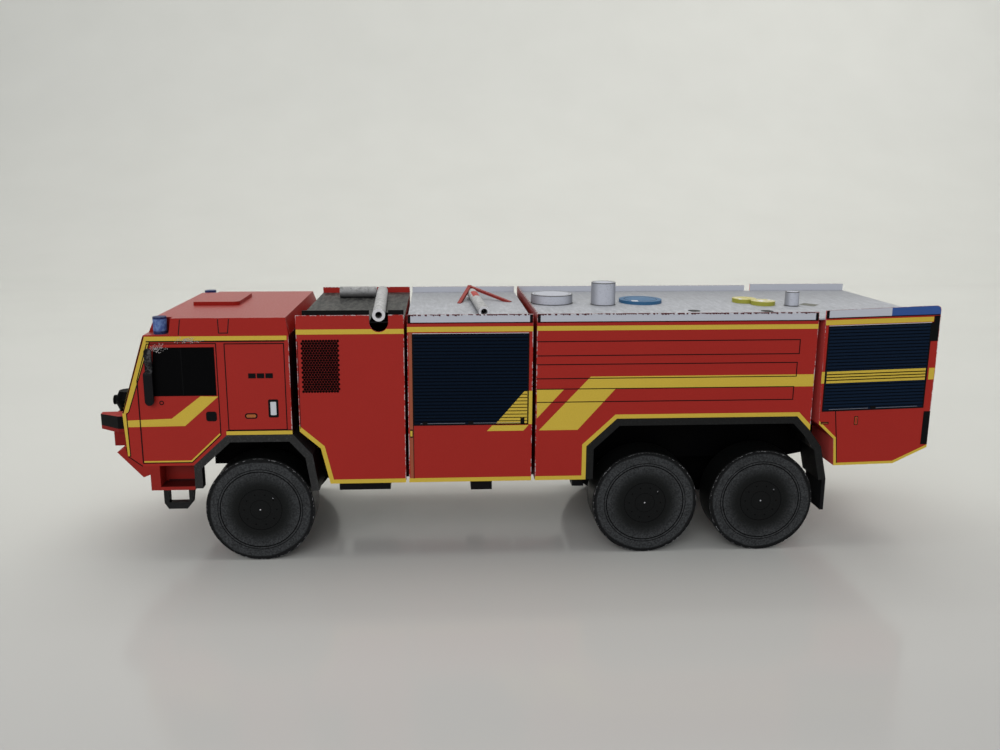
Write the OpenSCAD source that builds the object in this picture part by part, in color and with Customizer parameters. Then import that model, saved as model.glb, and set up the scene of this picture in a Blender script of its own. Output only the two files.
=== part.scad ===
// Card model of a three-axle airport fire truck, folded and rolled from printed sheet.
// +X points forward, +Y to the truck's left, +Z up. The ground is z = 0.

/* [Card] */
// Thickness of the folded card
card_t = 0.3; // [0.2:0.05:0.45]
// Thickness of the laminated strips: fenders, stirrups and mudflaps
strip_t = 1.7; // [1.2:0.1:1.9]

/* [Body boxes] */
// Width across the side walls
body_w = 47; // [44:0.5:52]
// Height of the side walls' top edges
wall_top_z = 56.6; // [55:0.2:62]
// Height of the body's lower edge
sill_z = 18.3; // [17.8:0.1:19.2]
// Drop of the roof sheets below the wall tops
parapet_h = 1.5; // [0.8:0.1:2]
// Extra height of the rear box's side walls
rear_rise = 0.3; // [0:0.1:1]
// Climb of the rear box's left wall top towards the back
rear_climb = 1; // [0.2:0.1:1.5]
// Gap behind the cab, and ahead of the rear box
box_gap = 1.6; // [1:0.1:2.2]
// Narrower gap between the engine box and the pump box
pump_gap = 0.7; // [0.5:0.05:1.5]
// Narrower gap between the pump box and the tank box
tank_gap = 0.85; // [0.5:0.05:1.5]
// Length of the engine box
engine_len = 23.3; // [21:0.1:26]
// Length of the pump box
pump_len = 27.6; // [25:0.1:30]
// Length of the tank box
tank_len = 63.1; // [58:0.1:68]
// Length of the rear box
rear_len = 26.35; // [24:0.05:30]

/* [Cab] */
// Length of the cab from its nose to its back wall
cab_len = 36.5; // [33:0.1:39]
// Height of the fold line where the roof fascia starts
cab_fold_z = 52.2; // [50.5:0.1:53]
// Height of the cab roof
cab_roof_z = 55.8; // [55:0.1:57]
// Inward lean of the fascia on each side
fascia_lean = 2.2; // [1:0.1:2.6]
// Set-back of the windscreen's top behind the nose
screen_rake = 5.5; // [4:0.1:7]
// Height of the nose, where the windscreen meets the lower front
nose_z = 35.2; // [34:0.1:37]
// Height of the cab's lower edge at the door
cab_sill_z = 23.1; // [22.5:0.1:24]
// Length of the raised hatch on the cab roof
hatch_len = 10.6; // [9:0.1:13]
// Width of the raised hatch on the cab roof
hatch_w = 16; // [13:0.1:20]
// Height of the raised hatch above the cab roof
hatch_h = 0.9; // [0.6:0.1:1.5]

/* [Front end] */
// Reach of the bumper and its turret ahead of the nose
bumper_reach = 10.4; // [10:0.1:11.5]
// Height of the bumper's top at its ends
bumper_top_z = 32.3; // [31.8:0.1:33]
// Depth of the dip in the bumper's middle, under the turret
bumper_dip = 2.9; // [1:0.1:3.1]
// Height of the bumper's face
bumper_h = 3.4; // [3.2:0.1:4]
// Half of the bumper's width at the cab
bumper_half_w = 17; // [15:0.1:20]
// Diameter of the bumper turret at its widest
turret_d = 5.6; // [4:0.1:6]
// Height of the bumper turret
turret_h = 5.1; // [4:0.1:6]
// Diameter of a beacon
beacon_d = 2.9; // [2.2:0.1:3.2]
// Height of a beacon
beacon_h = 3.7; // [3:0.1:4.5]
// Height of a mirror
mirror_h = 12.6; // [10:0.1:13.5]

/* [Wheels] */
// Diameter over the tread
wheel_d = 24.3; // [23:0.1:26]
// Width over the tread
wheel_w = 7.6; // [6:0.1:8.2]
// Distance from the nose back to the front axle
front_axle_setback = 28.5; // [28:0.1:30]
// Distance from the tank box's back wall forward to the rear axle
rear_axle_setback = 10.1; // [9.5:0.1:12]
// Distance between the two rear axles
tandem_pitch = 27.3; // [26.5:0.1:29]
// Height of the front arch above the tyre
front_arch_rise = 5.7; // [5:0.1:7]
// Height of the rear arch above the tyres
rear_arch_rise = 8.3; // [7:0.1:9]
// Diameter of the rolled axle
axle_d = 2.4; // [1.8:0.1:3]
// Radial running clearance of an axle in its bearer
axle_clear = 0.05; // [0.03:0.01:0.1]

/* [Roof fittings] */
// Outer diameter of the rolled exhaust tubes
exhaust_d = 2.8; // [2.2:0.1:3.2]
// Bore of the rolled tubes
tube_bore = 1.5; // [1:0.1:1.8]
// Outer diameter of the roof monitor's barrel
monitor_d = 2.5; // [2.2:0.1:3.2]
// Length of the roof monitor's barrel
monitor_len = 32.5; // [26:0.5:34]
// Diameter of the wide filler can
filler_d = 10.3; // [8:0.1:12]
// Height of the wide filler can
filler_h = 2.3; // [1:0.1:3]
// Diameter of the tall vent can
vent_d = 5.9; // [4:0.1:7]
// Height of the tall vent can
vent_h = 5.5; // [4:0.1:7]
// Diameter of the flat round hatch
round_hatch_d = 10.6; // [8:0.1:11.5]
// Thickness of the flat round hatch
round_hatch_t = 0.8; // [0.4:0.1:1.5]
// Diameter of each of the twin hatches
twin_hatch_d = 5.8; // [4:0.1:6]
// Thickness of the twin hatches
twin_hatch_t = 1; // [0.4:0.1:1.5]
// Diameter of the small rear vent
small_vent_d = 3.3; // [2.5:0.1:5]
// Height of the small rear vent
small_vent_h = 3.5; // [2:0.1:5]

/* [Hidden] */
$fn = 64;
past = 5; // how far a cut runs past the face it opens

// Stations along X, worked out from the front end backwards
box_lens = cab_len + engine_len + pump_len + tank_len + rear_len;
total_len = bumper_reach + box_lens + 2 * box_gap + pump_gap + tank_gap;
front_x = total_len / 2;
nose_x = front_x - bumper_reach;
cab_back_x = nose_x - cab_len;
engine_front_x = cab_back_x - box_gap;
engine_back_x = engine_front_x - engine_len;
pump_front_x = engine_back_x - pump_gap;
pump_back_x = pump_front_x - pump_len;
tank_front_x = pump_back_x - tank_gap;
tank_back_x = tank_front_x - tank_len;
rear_front_x = tank_back_x - box_gap;
rear_back_x = rear_front_x - rear_len;
front_axle_x = nose_x - front_axle_setback;
rear_axle_x = tank_back_x + rear_axle_setback;
middle_axle_x = rear_axle_x + tandem_pitch;

// Cross-section values
half_w = body_w / 2;
inner_half_w = half_w - card_t;
roof_z = wall_top_z - parapet_h;
rear_top_z = wall_top_z + rear_rise;
wheel_r = wheel_d / 2;
axle_z = wheel_r;
wheel_inset = 0.6;
wheel_face_y = half_w - wheel_inset;
wheel_back_y = wheel_face_y - wheel_w;
fender_depth = wheel_w + 1;
well_side_gap = 3.2;
well_half_w = wheel_back_y - well_side_gap;
well_lift = 1.2;
well_z = sill_z + well_lift;

// Front wheel arch, set out from the front axle
cab_arch_z = wheel_d + front_arch_rise;
front_foot = [front_axle_x + wheel_r + 1.75, cab_sill_z];
front_shoulder = [front_axle_x + wheel_r / 2 + 0.3, cab_arch_z];
front_fender_turn_x = front_axle_x - wheel_r + 4.15;
front_fender_knee = [front_axle_x - wheel_r - 0.1, cab_arch_z - 4.9];
front_fender_end = [front_axle_x - wheel_r - 1.35, axle_z + 4.65];
front_fender_start_z = sill_z - 0.6;

// Rear wheel arch, set out from the two rear axles
arch_top_z = wheel_d + rear_arch_rise;
arch_front_x = middle_axle_x + wheel_r + 1.95;
arch_knee_z = arch_top_z - 6.4;
arch_top_front_x = arch_front_x - 6.8;
arch_top_back_x = rear_axle_x - wheel_r / 2 - 0.8;
arch_back_z = arch_top_z - 3.4;
rear_fender_turn = [rear_axle_x - rear_axle_setback, arch_back_z];
rear_fender_knee = [rear_axle_x - wheel_r - 0.9, arch_back_z - 4];
rear_fender_end = [rear_axle_x - wheel_r - 2.6, axle_z + 5.35];

// Engine box cut, a card's breadth outside the front fender
engine_cut_gap = 0.6;
engine_cut_z = cab_arch_z + engine_cut_gap;
engine_cut_turn_x = front_axle_x - wheel_r + 2.6;
engine_cut_knee = [front_axle_x - wheel_r - 1.95, cab_arch_z - 3.4];
engine_cut_low_x = front_axle_x - wheel_r - 3.85;

// Rear box front edge, behind the rear fender
rear_shoulder = [rear_front_x - 0.4, arch_back_z + 1.4];
rear_knee = rear_shoulder - [3.7, 3.5];
rear_low_z = sill_z + 2.4;
rear_foot = [rear_knee.x - 0.5, rear_low_z];

function unit(v) = v / norm(v);
function left_of(v) = [-v.y, v.x];

// Corner i of a closed anticlockwise outline, moved inward by t along both of its edges
function inset_corner(p, i, t) =
  let (n = len(p),
       a = left_of(unit(p[i] - p[(i + n - 1) % n])),
       b = left_of(unit(p[(i + 1) % n] - p[i])))
  p[i] + (a + b) * t / (1 + a * b);
function inset(p, t) = [for (i = [0 : len(p) - 1]) inset_corner(p, i, t)];

// Point i of an open path, moved to its left by t
function shifted_point(p, i, t) =
  let (n = len(p),
       a = left_of(unit(p[max(i, 1)] - p[max(i, 1) - 1])),
       b = left_of(unit(p[min(i + 1, n - 1)] - p[min(i + 1, n - 1) - 1])))
  p[i] + (a + b) * t / (1 + a * b);
function ribbon(p, t) = concat(p, [for (i = [len(p) - 1 : -1 : 0]) shifted_point(p, i, t)]);

// The point where the line from a to b reaches height z
function at_height(a, b, z) = a + (b - a) * (z - a.y) / (b.y - a.y);

// The outline with its top corners run on past the top, so that a cavity opens there
function open_top(p, z) =
  [for (i = [0 : len(p) - 1])
     let (before = p[(i + len(p) - 1) % len(p)],
          after = p[(i + 1) % len(p)],
          below = before.y < after.y ? before : after)
     p[i].y < z - 0.01 ? p[i] : at_height(below, p[i], z + past)];

// The XZ outlines of what the wheel arches take away from the boxes, anticlockwise
cab_arch_void = [
  [cab_back_x - past, cab_sill_z - past],
  at_height(front_shoulder, front_foot, cab_sill_z - past),
  front_shoulder,
  [cab_back_x - past, cab_arch_z]
];
engine_arch_void = [
  [engine_cut_low_x, sill_z - past],
  [front_foot.x, sill_z - past],
  [front_foot.x, engine_cut_z],
  [engine_cut_turn_x, engine_cut_z],
  engine_cut_knee,
  [engine_cut_low_x, sill_z]
];
tank_arch_void = [
  [tank_back_x - past, sill_z - past],
  [arch_front_x, sill_z - past],
  [arch_front_x, arch_knee_z],
  [arch_top_front_x, arch_top_z],
  [arch_top_back_x, arch_top_z],
  rear_fender_turn,
  [tank_back_x - past, arch_back_z - past]
];

// Box side outlines, anticlockwise
function box_side(back_x, front_x, top_z) =
  [[back_x, sill_z], [front_x, sill_z], [front_x, top_z], [back_x, top_z]];
low_front = [nose_x - 0.5, cab_sill_z + 2.3];
door_front_x = nose_x - 3.5;
screen_top_x = nose_x - screen_rake;
cab_side = [
  [cab_back_x, cab_sill_z],
  [door_front_x, cab_sill_z],
  low_front,
  [nose_x, nose_z],
  [screen_top_x, cab_fold_z],
  [cab_back_x, cab_fold_z]
];
rear_side = [
  [rear_back_x, rear_low_z + 4.1],
  [rear_back_x + 7.75, rear_low_z + 0.3],
  rear_foot,
  rear_knee,
  rear_shoulder,
  [rear_front_x, rear_top_z],
  [rear_back_x, rear_top_z]
];

// Wheel arch strips, from front to back
front_arch_path = [
  front_foot,
  front_shoulder,
  [front_fender_turn_x, cab_arch_z],
  front_fender_knee,
  front_fender_end
];
rear_arch_path = [
  [arch_front_x, sill_z],
  [arch_front_x, arch_knee_z],
  [arch_top_front_x, arch_top_z],
  [arch_top_back_x, arch_top_z],
  rear_fender_turn,
  rear_fender_knee,
  rear_fender_end
];

// An XZ outline drawn out across Y
module across(outline, y_low, y_high) {
  translate([0, y_high, 0])
    rotate([90, 0, 0])
      linear_extrude(y_high - y_low)
        polygon(outline);
}

// A YZ outline drawn out along X
module along(outline, x_low, x_high) {
  translate([x_low, 0, 0])
    rotate([90, 0, 90])
      linear_extrude(x_high - x_low)
        polygon(outline);
}

// Left and right copies
module both_sides() {
  children();
  mirror([0, 1, 0]) children();
}

// A folded card box, open at the top, with a wheel arch folded into its underside
module card_box(outline, top_z, arch_void = []) {
  difference() {
    across(outline, -half_w, half_w);
    if (len(arch_void) > 0) across(arch_void, -half_w - past, half_w + past);
    difference() {
      across(inset(open_top(outline, top_z), card_t), -inner_half_w, inner_half_w);
      if (len(arch_void) > 0) across(inset(arch_void, -card_t), -half_w - past, half_w + past);
    }
  }
}

// What is taken off a cross wall so that a roof sheet can lie over it
module wall_cut(x) {
  translate([x - card_t - 0.5, -inner_half_w, roof_z - card_t])
    cube([2 * card_t + 1, 2 * inner_half_w, parapet_h + past]);
}

// A roof sheet between the side walls
module roof_sheet(back_x, front_x) {
  translate([back_x, -inner_half_w, roof_z - card_t])
    cube([front_x - back_x, 2 * inner_half_w, card_t]);
}

// A rolled tube between two points
module tube_between(a, b, od, id) {
  span = b - a;
  reach = norm(span);
  translate(a)
    rotate([0, acos(span.z / reach), atan2(span.y, span.x)])
      difference() {
        cylinder(d = od, h = reach);
        translate([0, 0, -1]) cylinder(d = id, h = reach + 2);
      }
}

// Chassis: a folded black beam between two bored bearer blocks
beam_half_w = 8;
bearer_wall = 1.6;
bearer_end = 4.5;
beam_bottom_z = axle_z + axle_d / 2 + 0.65;
bearer_bottom_z = axle_z - axle_d / 2 - bearer_wall;
beam_section = [
  [-beam_half_w, beam_bottom_z], [beam_half_w, beam_bottom_z],
  [beam_half_w, sill_z], [-beam_half_w, sill_z]
];

module chassis_beam() {
  color("#1b1b1d")
    difference() {
      along(beam_section, middle_axle_x + bearer_end, front_axle_x - bearer_end);
      along(inset(beam_section, card_t), middle_axle_x, front_axle_x);
    }
}

// A bearer is a black block, bored for its axles, that carries a wheel well
module axle_bearer(axle_stations) {
  difference() {
    translate([min(axle_stations) - bearer_end, -beam_half_w, bearer_bottom_z])
      cube([
        max(axle_stations) - min(axle_stations) + 2 * bearer_end,
        2 * beam_half_w,
        well_z - bearer_bottom_z
      ]);
    for (x = axle_stations)
      translate([x, half_w, axle_z])
        rotate([90, 0, 0])
          cylinder(r = axle_d / 2 + axle_clear, h = body_w);
  }
}

module front_axle_bearer() {
  color("#1b1b1d") axle_bearer([front_axle_x]);
}

module rear_axle_bearer() {
  color("#1b1b1d") axle_bearer([middle_axle_x, rear_axle_x]);
}

// Black boxes glued under the engine, pump and tank boxes
underbody_half_w = body_w * 0.34;
underbody_h = 4;

// Each span is [back, front, height]
module underbody_boxes() {
  spans = [
    [engine_back_x + engine_len * 0.17, engine_back_x + engine_len * 0.68, underbody_h * 1.1],
    [pump_back_x + pump_len * 0.305, pump_back_x + pump_len * 0.485, underbody_h * 1.22],
    [arch_front_x - 3 * card_t, arch_front_x + 6 * card_t, underbody_h * 1.1]
  ];
  color("#1b1b1d")
    both_sides()
      for (span = spans)
        translate([span[0], beam_half_w, sill_z - span[2]])
          cube([span[1] - span[0], underbody_half_w - beam_half_w, span[2]]);
}

// Black folded spacers that join each body box to the next
spacer_half_w = 12;
spacer_top_z = cab_fold_z - 1;

module box_spacers() {
  spans = [
    [engine_front_x, cab_back_x, engine_cut_z],
    [pump_front_x, engine_back_x, sill_z],
    [tank_front_x, pump_back_x, sill_z]
  ];
  color("#141416") {
    for (span = spans)
      translate([span[0], -spacer_half_w, span[2]])
        cube([span[1] - span[0], 2 * spacer_half_w, spacer_top_z - span[2]]);
    across([
      rear_shoulder,
      [tank_back_x, rear_shoulder.y],
      [tank_back_x, spacer_top_z],
      at_height(rear_shoulder, [rear_front_x, rear_top_z], spacer_top_z)
    ], -spacer_half_w, spacer_half_w);
  }
}

// Cab
module cab_shell() {
  color("#b3261e") card_box(cab_side, cab_fold_z, cab_arch_void);
}

brow_setback = 7.1;
roof_back_lean = 0.9;
notch_back_x = nose_x - 11;
notch_floor_z = cab_fold_z + card_t;
beacon_edge_gap = 0.85;
beacon_y = half_w - beacon_edge_gap - beacon_d / 2;
notch_inner_y = beacon_y - beacon_d / 2 - card_t;
beacon_x = notch_back_x + 0.85 + beacon_d / 2;

// The roof is a shallow tray whose four sides lean in; its front corners are cut away for the beacons
module cab_roof() {
  color("#b3261e")
    difference() {
      intersection() {
        across([
          [cab_back_x, cab_fold_z],
          [screen_top_x, cab_fold_z],
          [nose_x - brow_setback, cab_roof_z],
          [cab_back_x + roof_back_lean, cab_roof_z]
        ], -half_w, half_w);
        along([
          [-half_w, cab_fold_z], [half_w, cab_fold_z],
          [half_w - fascia_lean, cab_roof_z], [-half_w + fascia_lean, cab_roof_z]
        ], cab_back_x - past, nose_x + past);
      }
      both_sides()
        translate([notch_back_x, notch_inner_y, notch_floor_z])
          cube([cab_len, half_w, cab_roof_z]);
    }
}

module cab_hatch() {
  corner_r = 1.5;
  hatch_back_x = nose_x - 21.6;
  hatch_mid_y = -4.8;
  color("#a8231c")
    translate([hatch_back_x, hatch_mid_y - hatch_w / 2, cab_roof_z])
      linear_extrude(hatch_h)
        union() {
          translate([corner_r, 0]) square([hatch_len - corner_r, hatch_w]);
          translate([0, corner_r]) square([corner_r, hatch_w - 2 * corner_r]);
          translate([corner_r, corner_r]) circle(corner_r);
          translate([corner_r, hatch_w - corner_r]) circle(corner_r);
        }
}

module beacons() {
  color("#3a5fb0")
    both_sides()
      translate([beacon_x, beacon_y, notch_floor_z])
        cylinder(d = beacon_d, h = beacon_h);
}

// A mirror is a black cut-out with two round-ended lobes, held off the side wall by two tabs
mirror_back_x = screen_top_x - 2;
mirror_drop = 2.4;
mirror_top_z = cab_fold_z - mirror_drop;
mirror_bottom_z = mirror_top_z - mirror_h;
mirror_waist_z = mirror_top_z - mirror_h * 0.42;
mirror_offset = 0.7;

// A round-ended upright lobe, drawn in the mirror's own plane
module mirror_lobe(x, low_z, high_z, w) {
  translate([x, low_z + w / 2]) circle(w / 2);
  translate([x, high_z - w / 2]) circle(w / 2);
  translate([x - w / 2, low_z + w / 2]) square([w, high_z - low_z - w]);
}

module mirrors() {
  tab_w = 0.6;
  tab_h = 0.7;
  lobe_overlap = 0.4;
  color("#1b1b1d")
    both_sides() {
      translate([0, half_w + mirror_offset + 2 * card_t, 0])
        rotate([90, 0, 0])
          linear_extrude(2 * card_t)
            union() {
              mirror_lobe(mirror_back_x + 0.8, mirror_waist_z - lobe_overlap, mirror_top_z, 1.5);
              mirror_lobe(mirror_back_x + 1.1, mirror_bottom_z, mirror_waist_z + lobe_overlap, 1.9);
            }
      for (z = [mirror_top_z - 1.4, mirror_bottom_z + 2])
        translate([mirror_back_x + 0.6, half_w, z])
          cube([tab_w, mirror_offset, tab_h]);
    }
}

// Bumper: a box with tapered ends whose top dips under the turret, over a narrower lower lip
bumper_bottom_z = bumper_top_z - bumper_h;
bumper_corner_in = 3.4;
bumper_corner_y = bumper_half_w - bumper_corner_in;
bumper_dip_z = bumper_top_z - bumper_dip;
bumper_edge_x = front_x - 0.8;
bumper_taper = 6;
bumper_rise = 0.7; // climb of the bumper's top towards the cab
valance_tip_x = nose_x + 1.8;
valance_top_z = low_front.y + 2;

module front_bumper() {
  dip_half_w = turret_d / 2 + 0.4;
  lip_x = valance_tip_x + 0.1;
  lip_drop = 3.2;
  lip_z = bumper_bottom_z - lip_drop;
  color("#8f1f1a")
    difference() {
      union() {
        intersection() {
          translate([0, 0, bumper_bottom_z])
            linear_extrude(bumper_h + bumper_rise)
              polygon([
                [low_front.x, -bumper_half_w],
                [bumper_edge_x - bumper_taper, -bumper_half_w],
                [bumper_edge_x - 1, -bumper_corner_y],
                [bumper_edge_x, 0],
                [bumper_edge_x - 1, bumper_corner_y],
                [bumper_edge_x - bumper_taper, bumper_half_w],
                [low_front.x, bumper_half_w]
              ]);
          along([
            [-bumper_half_w, bumper_bottom_z], [bumper_half_w, bumper_bottom_z],
            [bumper_half_w, bumper_top_z + bumper_rise], [bumper_corner_y, bumper_top_z + bumper_rise],
            [dip_half_w, bumper_dip_z], [-dip_half_w, bumper_dip_z],
            [-bumper_corner_y, bumper_top_z + bumper_rise], [-bumper_half_w, bumper_top_z + bumper_rise]
          ], low_front.x, front_x);
          across([
            [low_front.x, bumper_bottom_z],
            [front_x, bumper_bottom_z],
            [front_x, bumper_top_z],
            [low_front.x, bumper_top_z + bumper_rise]
          ], -half_w, half_w);
        }
        across([
          [low_front.x, valance_top_z + 0.1],
          [lip_x, valance_top_z + 0.1],
          [lip_x, lip_z],
          [lip_x + 2.9, lip_z],
          [lip_x + 2.9, bumper_bottom_z],
          [low_front.x, bumper_bottom_z]
        ], -bumper_half_w + 0.5, bumper_half_w - 0.5);
      }
      across(cab_side, -half_w, half_w);
    }
}

// Turret: a turned drum with a stubby barrel that reaches the model's front end
turret_x = front_x - 0.4 - turret_d / 2;

module bumper_turret() {
  waist_r = turret_d * 0.34;
  barrel_d = turret_d * 0.42;
  color("#1b1b1d") {
    translate([turret_x, 0, bumper_dip_z])
      rotate_extrude()
        polygon([
          [0, 0], [waist_r, 0], [turret_d / 2, turret_h * 0.45],
          [turret_d / 2, turret_h * 0.62], [waist_r, turret_h], [0, turret_h]
        ]);
    translate([turret_x, 0, bumper_dip_z + turret_h * 0.54])
      rotate([0, 90, 0])
        cylinder(d = barrel_d, h = front_x - turret_x);
  }
}

step_front_x = nose_x - 5;
step_back_x = front_foot.x;
step_post_w = 2.1;
step_top_z = cab_sill_z - 0.8;
step_drop = 5.7;
step_bottom_z = cab_sill_z - step_drop;
step_depth = 4.5;

// Lower front apron, an angled strip under the cab's front
module lower_valance() {
  color("#a8231c")
    across([
      [step_front_x - step_post_w, step_top_z],
      [step_front_x, step_top_z],
      [step_front_x, cab_sill_z - 2],
      [door_front_x, cab_sill_z - 2.6],
      [valance_tip_x, low_front.y + 1],
      [nose_x - 0.1, valance_top_z],
      low_front,
      [door_front_x, cab_sill_z],
      [step_front_x - step_post_w, cab_sill_z]
    ], -half_w, half_w);
}

// Step box under each door: front post, back wall, floor
module step_boxes() {
  floor_t = 0.8;
  color("#a8231c")
    both_sides()
      difference() {
        translate([step_back_x, half_w - step_depth, step_bottom_z])
          cube([step_front_x - step_back_x, step_depth, step_top_z - step_bottom_z]);
        translate([step_back_x - past, half_w - step_depth + card_t, step_bottom_z + floor_t])
          cube([step_front_x - step_post_w - step_back_x + past, step_depth, cab_sill_z]);
      }
}

// Stirrup below each step box
module step_loops() {
  loop_back_x = step_back_x + 0.4;
  loop_front_x = step_front_x - step_post_w - 0.5;
  loop_drop = 4.4;
  loop_bottom_z = step_bottom_z - loop_drop;
  bar = 1.1;
  color("#1b1b1d")
    both_sides()
      difference() {
        across([
          [loop_back_x, step_bottom_z], [loop_back_x + 0.4, loop_bottom_z + 1.4],
          [loop_back_x + 1.6, loop_bottom_z], [loop_front_x - 0.9, loop_bottom_z],
          [loop_front_x, loop_bottom_z + 1.4], [loop_front_x, step_bottom_z]
        ], half_w - strip_t, half_w);
        across([
          [loop_back_x + bar, step_bottom_z + 1], [loop_back_x + bar, loop_bottom_z + 1.5],
          [loop_front_x - bar, loop_bottom_z + 1.5], [loop_front_x - bar, step_bottom_z + 1]
        ], half_w - 2 * strip_t, half_w + 1);
      }
}

// Inner walls of the wheel arches
module front_wheel_well() {
  front = at_height(front_foot, front_shoulder, cab_sill_z + 1.5);
  color("#141416")
    across([
      at_height(engine_cut_knee, [engine_cut_low_x, sill_z], well_z),
      [front.x, well_z],
      front,
      front_shoulder,
      at_height(engine_cut_knee, [engine_cut_turn_x, engine_cut_z], cab_arch_z),
      engine_cut_knee
    ], -well_half_w, well_half_w);
}

module rear_wheel_well() {
  color("#141416")
    across([
      rear_foot,
      [tank_back_x, well_z],
      [arch_front_x, well_z],
      [arch_front_x, arch_knee_z],
      [arch_top_front_x, arch_top_z],
      [arch_top_back_x, arch_top_z],
      rear_fender_turn,
      [tank_back_x, rear_shoulder.y],
      rear_shoulder,
      rear_knee
    ], -well_half_w, well_half_w);
}

// The front fender's front leg is a shallow strip, its top and back run the wheel's full width
module front_fenders() {
  leg_depth = 2.2;
  leg_start = [front_foot.x, front_fender_start_z];
  color("#242426")
    both_sides() {
      across(ribbon(concat([leg_start], front_arch_path), strip_t), half_w - leg_depth, half_w);
      across(ribbon(front_arch_path, strip_t), half_w - fender_depth, half_w - leg_depth);
    }
}

module rear_fenders() {
  color("#242426")
    both_sides()
      across(ribbon(rear_arch_path, strip_t), half_w - fender_depth, half_w);
}

// A mudflap hangs from the end of each rear fender
module mudflaps() {
  last = len(rear_arch_path) - 1;
  inner_end = shifted_point(rear_arch_path, last, strip_t);
  flap_h = 7.6;
  color("#141416")
    both_sides()
      across([
        [rear_fender_end.x, rear_fender_end.y - flap_h],
        [rear_fender_end.x + strip_t / 2, rear_fender_end.y - flap_h],
        (rear_fender_end + inner_end) / 2,
        rear_fender_end
      ], half_w - fender_depth, half_w);
}

// Engine box
exhaust_x = engine_back_x + 5.4;
exhaust_notch_w = exhaust_d + 1.3;
exhaust_notch_z = wall_top_z - 3.7;
exhaust_z = roof_z + exhaust_d / 2;
exhaust_skew = 1.5;
exhaust_bend_y = -14.3;

module exhaust_notch(y_low, y_high) {
  r = exhaust_notch_w / 2;
  translate([exhaust_x, y_high, 0])
    rotate([90, 0, 0])
      linear_extrude(y_high - y_low)
        union() {
          translate([0, exhaust_notch_z + r]) circle(r);
          translate([-r, exhaust_notch_z + r]) square([exhaust_notch_w, wall_top_z]);
        }
}

module engine_shell() {
  color("#b3261e")
    difference() {
      card_box(box_side(engine_back_x, engine_front_x, wall_top_z), wall_top_z, engine_arch_void);
      exhaust_notch(inner_half_w - 1, half_w + 1);
      wall_cut(engine_front_x);
      wall_cut(engine_back_x);
    }
}

// The lid is a sheet with a turned-up edge along the left wall
module engine_lid() {
  edge_h = parapet_h + 1;
  edge_inset = 1.4;
  color("#1f1f21") {
    roof_sheet(engine_back_x, engine_front_x);
    difference() {
      translate([engine_back_x, inner_half_w - card_t, roof_z - card_t])
        cube([engine_len - edge_inset, card_t, edge_h + card_t]);
      translate([exhaust_x - exhaust_notch_w / 2, 0, roof_z])
        cube([exhaust_notch_w, half_w, wall_top_z]);
    }
  }
}

module exhaust_long_tube() {
  butt_x = exhaust_x + exhaust_skew + exhaust_d / 2 + 0.05;
  color("#c9c9c6")
    tube_between([butt_x + 9.4, exhaust_bend_y, exhaust_z], [butt_x, exhaust_bend_y, exhaust_z],
                 exhaust_d, tube_bore);
}

module exhaust_cross_tube() {
  color("#d4d4d0")
    tube_between([exhaust_x + exhaust_skew, exhaust_bend_y - exhaust_d / 2, exhaust_z],
                 [exhaust_x, inner_half_w, exhaust_z], exhaust_d, tube_bore);
}

// Pump box
module pump_shell() {
  color("#b3261e")
    difference() {
      card_box(box_side(pump_back_x, pump_front_x, wall_top_z), wall_top_z);
      wall_cut(pump_front_x);
      wall_cut(pump_back_x);
    }
}

module pump_roof() {
  color("#c8c9cb") roof_sheet(pump_back_x, pump_front_x);
}

monitor_far = [pump_back_x + pump_len * 0.435, -13.6, roof_z + monitor_d / 2];
monitor_near = monitor_far + [-1.5, monitor_len, 0];

module roof_monitor() {
  color("#d4d4d0") tube_between(monitor_far, monitor_near, monitor_d, tube_bore);
}

// A flat strip from a to b
module strip_between(a, b, w, t) {
  span = b - a;
  reach = norm(span);
  translate(a)
    rotate([0, -asin(span.z / reach), atan2(span.y, span.x)])
      translate([-w / 2, -w / 2, 0])
        cube([reach + w, w, t]);
}

// A bent red strip: its apex lies on the monitor, its two legs slope down to the roof
module monitor_handle() {
  strip_w = 0.9;
  left_run = [2.9, 10];
  right_run = [-9.5, 8.4];
  apex = monitor_far + [0.5, 0.7, monitor_d / 2];
  left_end = [apex.x + left_run.x, apex.y + left_run.y, roof_z - card_t];
  right_end = [apex.x + right_run.x, apex.y + right_run.y, roof_z - card_t];
  color("#a8231c")
    difference() {
      union() {
        strip_between(apex, left_end, strip_w, 2 * card_t);
        strip_between(apex, right_end, strip_w, 2 * card_t);
      }
      tube_between(monitor_far, monitor_near, monitor_d, 0.1);
      translate([pump_back_x, -half_w, roof_z - past]) cube([pump_len, body_w, past]);
    }
}

// Tank box and rear box, under one roof sheet
module tank_shell() {
  color("#b3261e")
    difference() {
      card_box(box_side(tank_back_x, tank_front_x, wall_top_z), wall_top_z, tank_arch_void);
      wall_cut(tank_back_x);
    }
}

module rear_shell() {
  color("#b3261e")
    difference() {
      union() {
        card_box(rear_side, rear_top_z);
        across([
          [rear_back_x, roof_z], [rear_front_x, roof_z],
          [rear_front_x, rear_top_z],
          [rear_back_x + 0.9, rear_top_z + rear_climb],
          [rear_back_x + 0.25, rear_top_z + 0.7 * rear_climb],
          [rear_back_x, rear_top_z]
        ], inner_half_w, half_w);
      }
      wall_cut(rear_front_x);
      wall_cut(rear_back_x);
    }
}

module deck_roof() {
  color("#c8c9cb") roof_sheet(rear_back_x, tank_front_x - card_t);
}

module filler_can() {
  color("#cfcfd0")
    translate([tank_front_x - filler_d / 2 - 1.6, -3.1, roof_z]) cylinder(d = filler_d, h = filler_h);
}

module vent_can() {
  color("#cfcfd0")
    translate([tank_front_x - tank_len * 0.302, 0.2, roof_z]) cylinder(d = vent_d, h = vent_h);
}

module round_hatch() {
  color("#2f6f9f")
    translate([tank_front_x - tank_len * 0.462, -3.1, roof_z]) cylinder(d = round_hatch_d, h = round_hatch_t);
}

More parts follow.
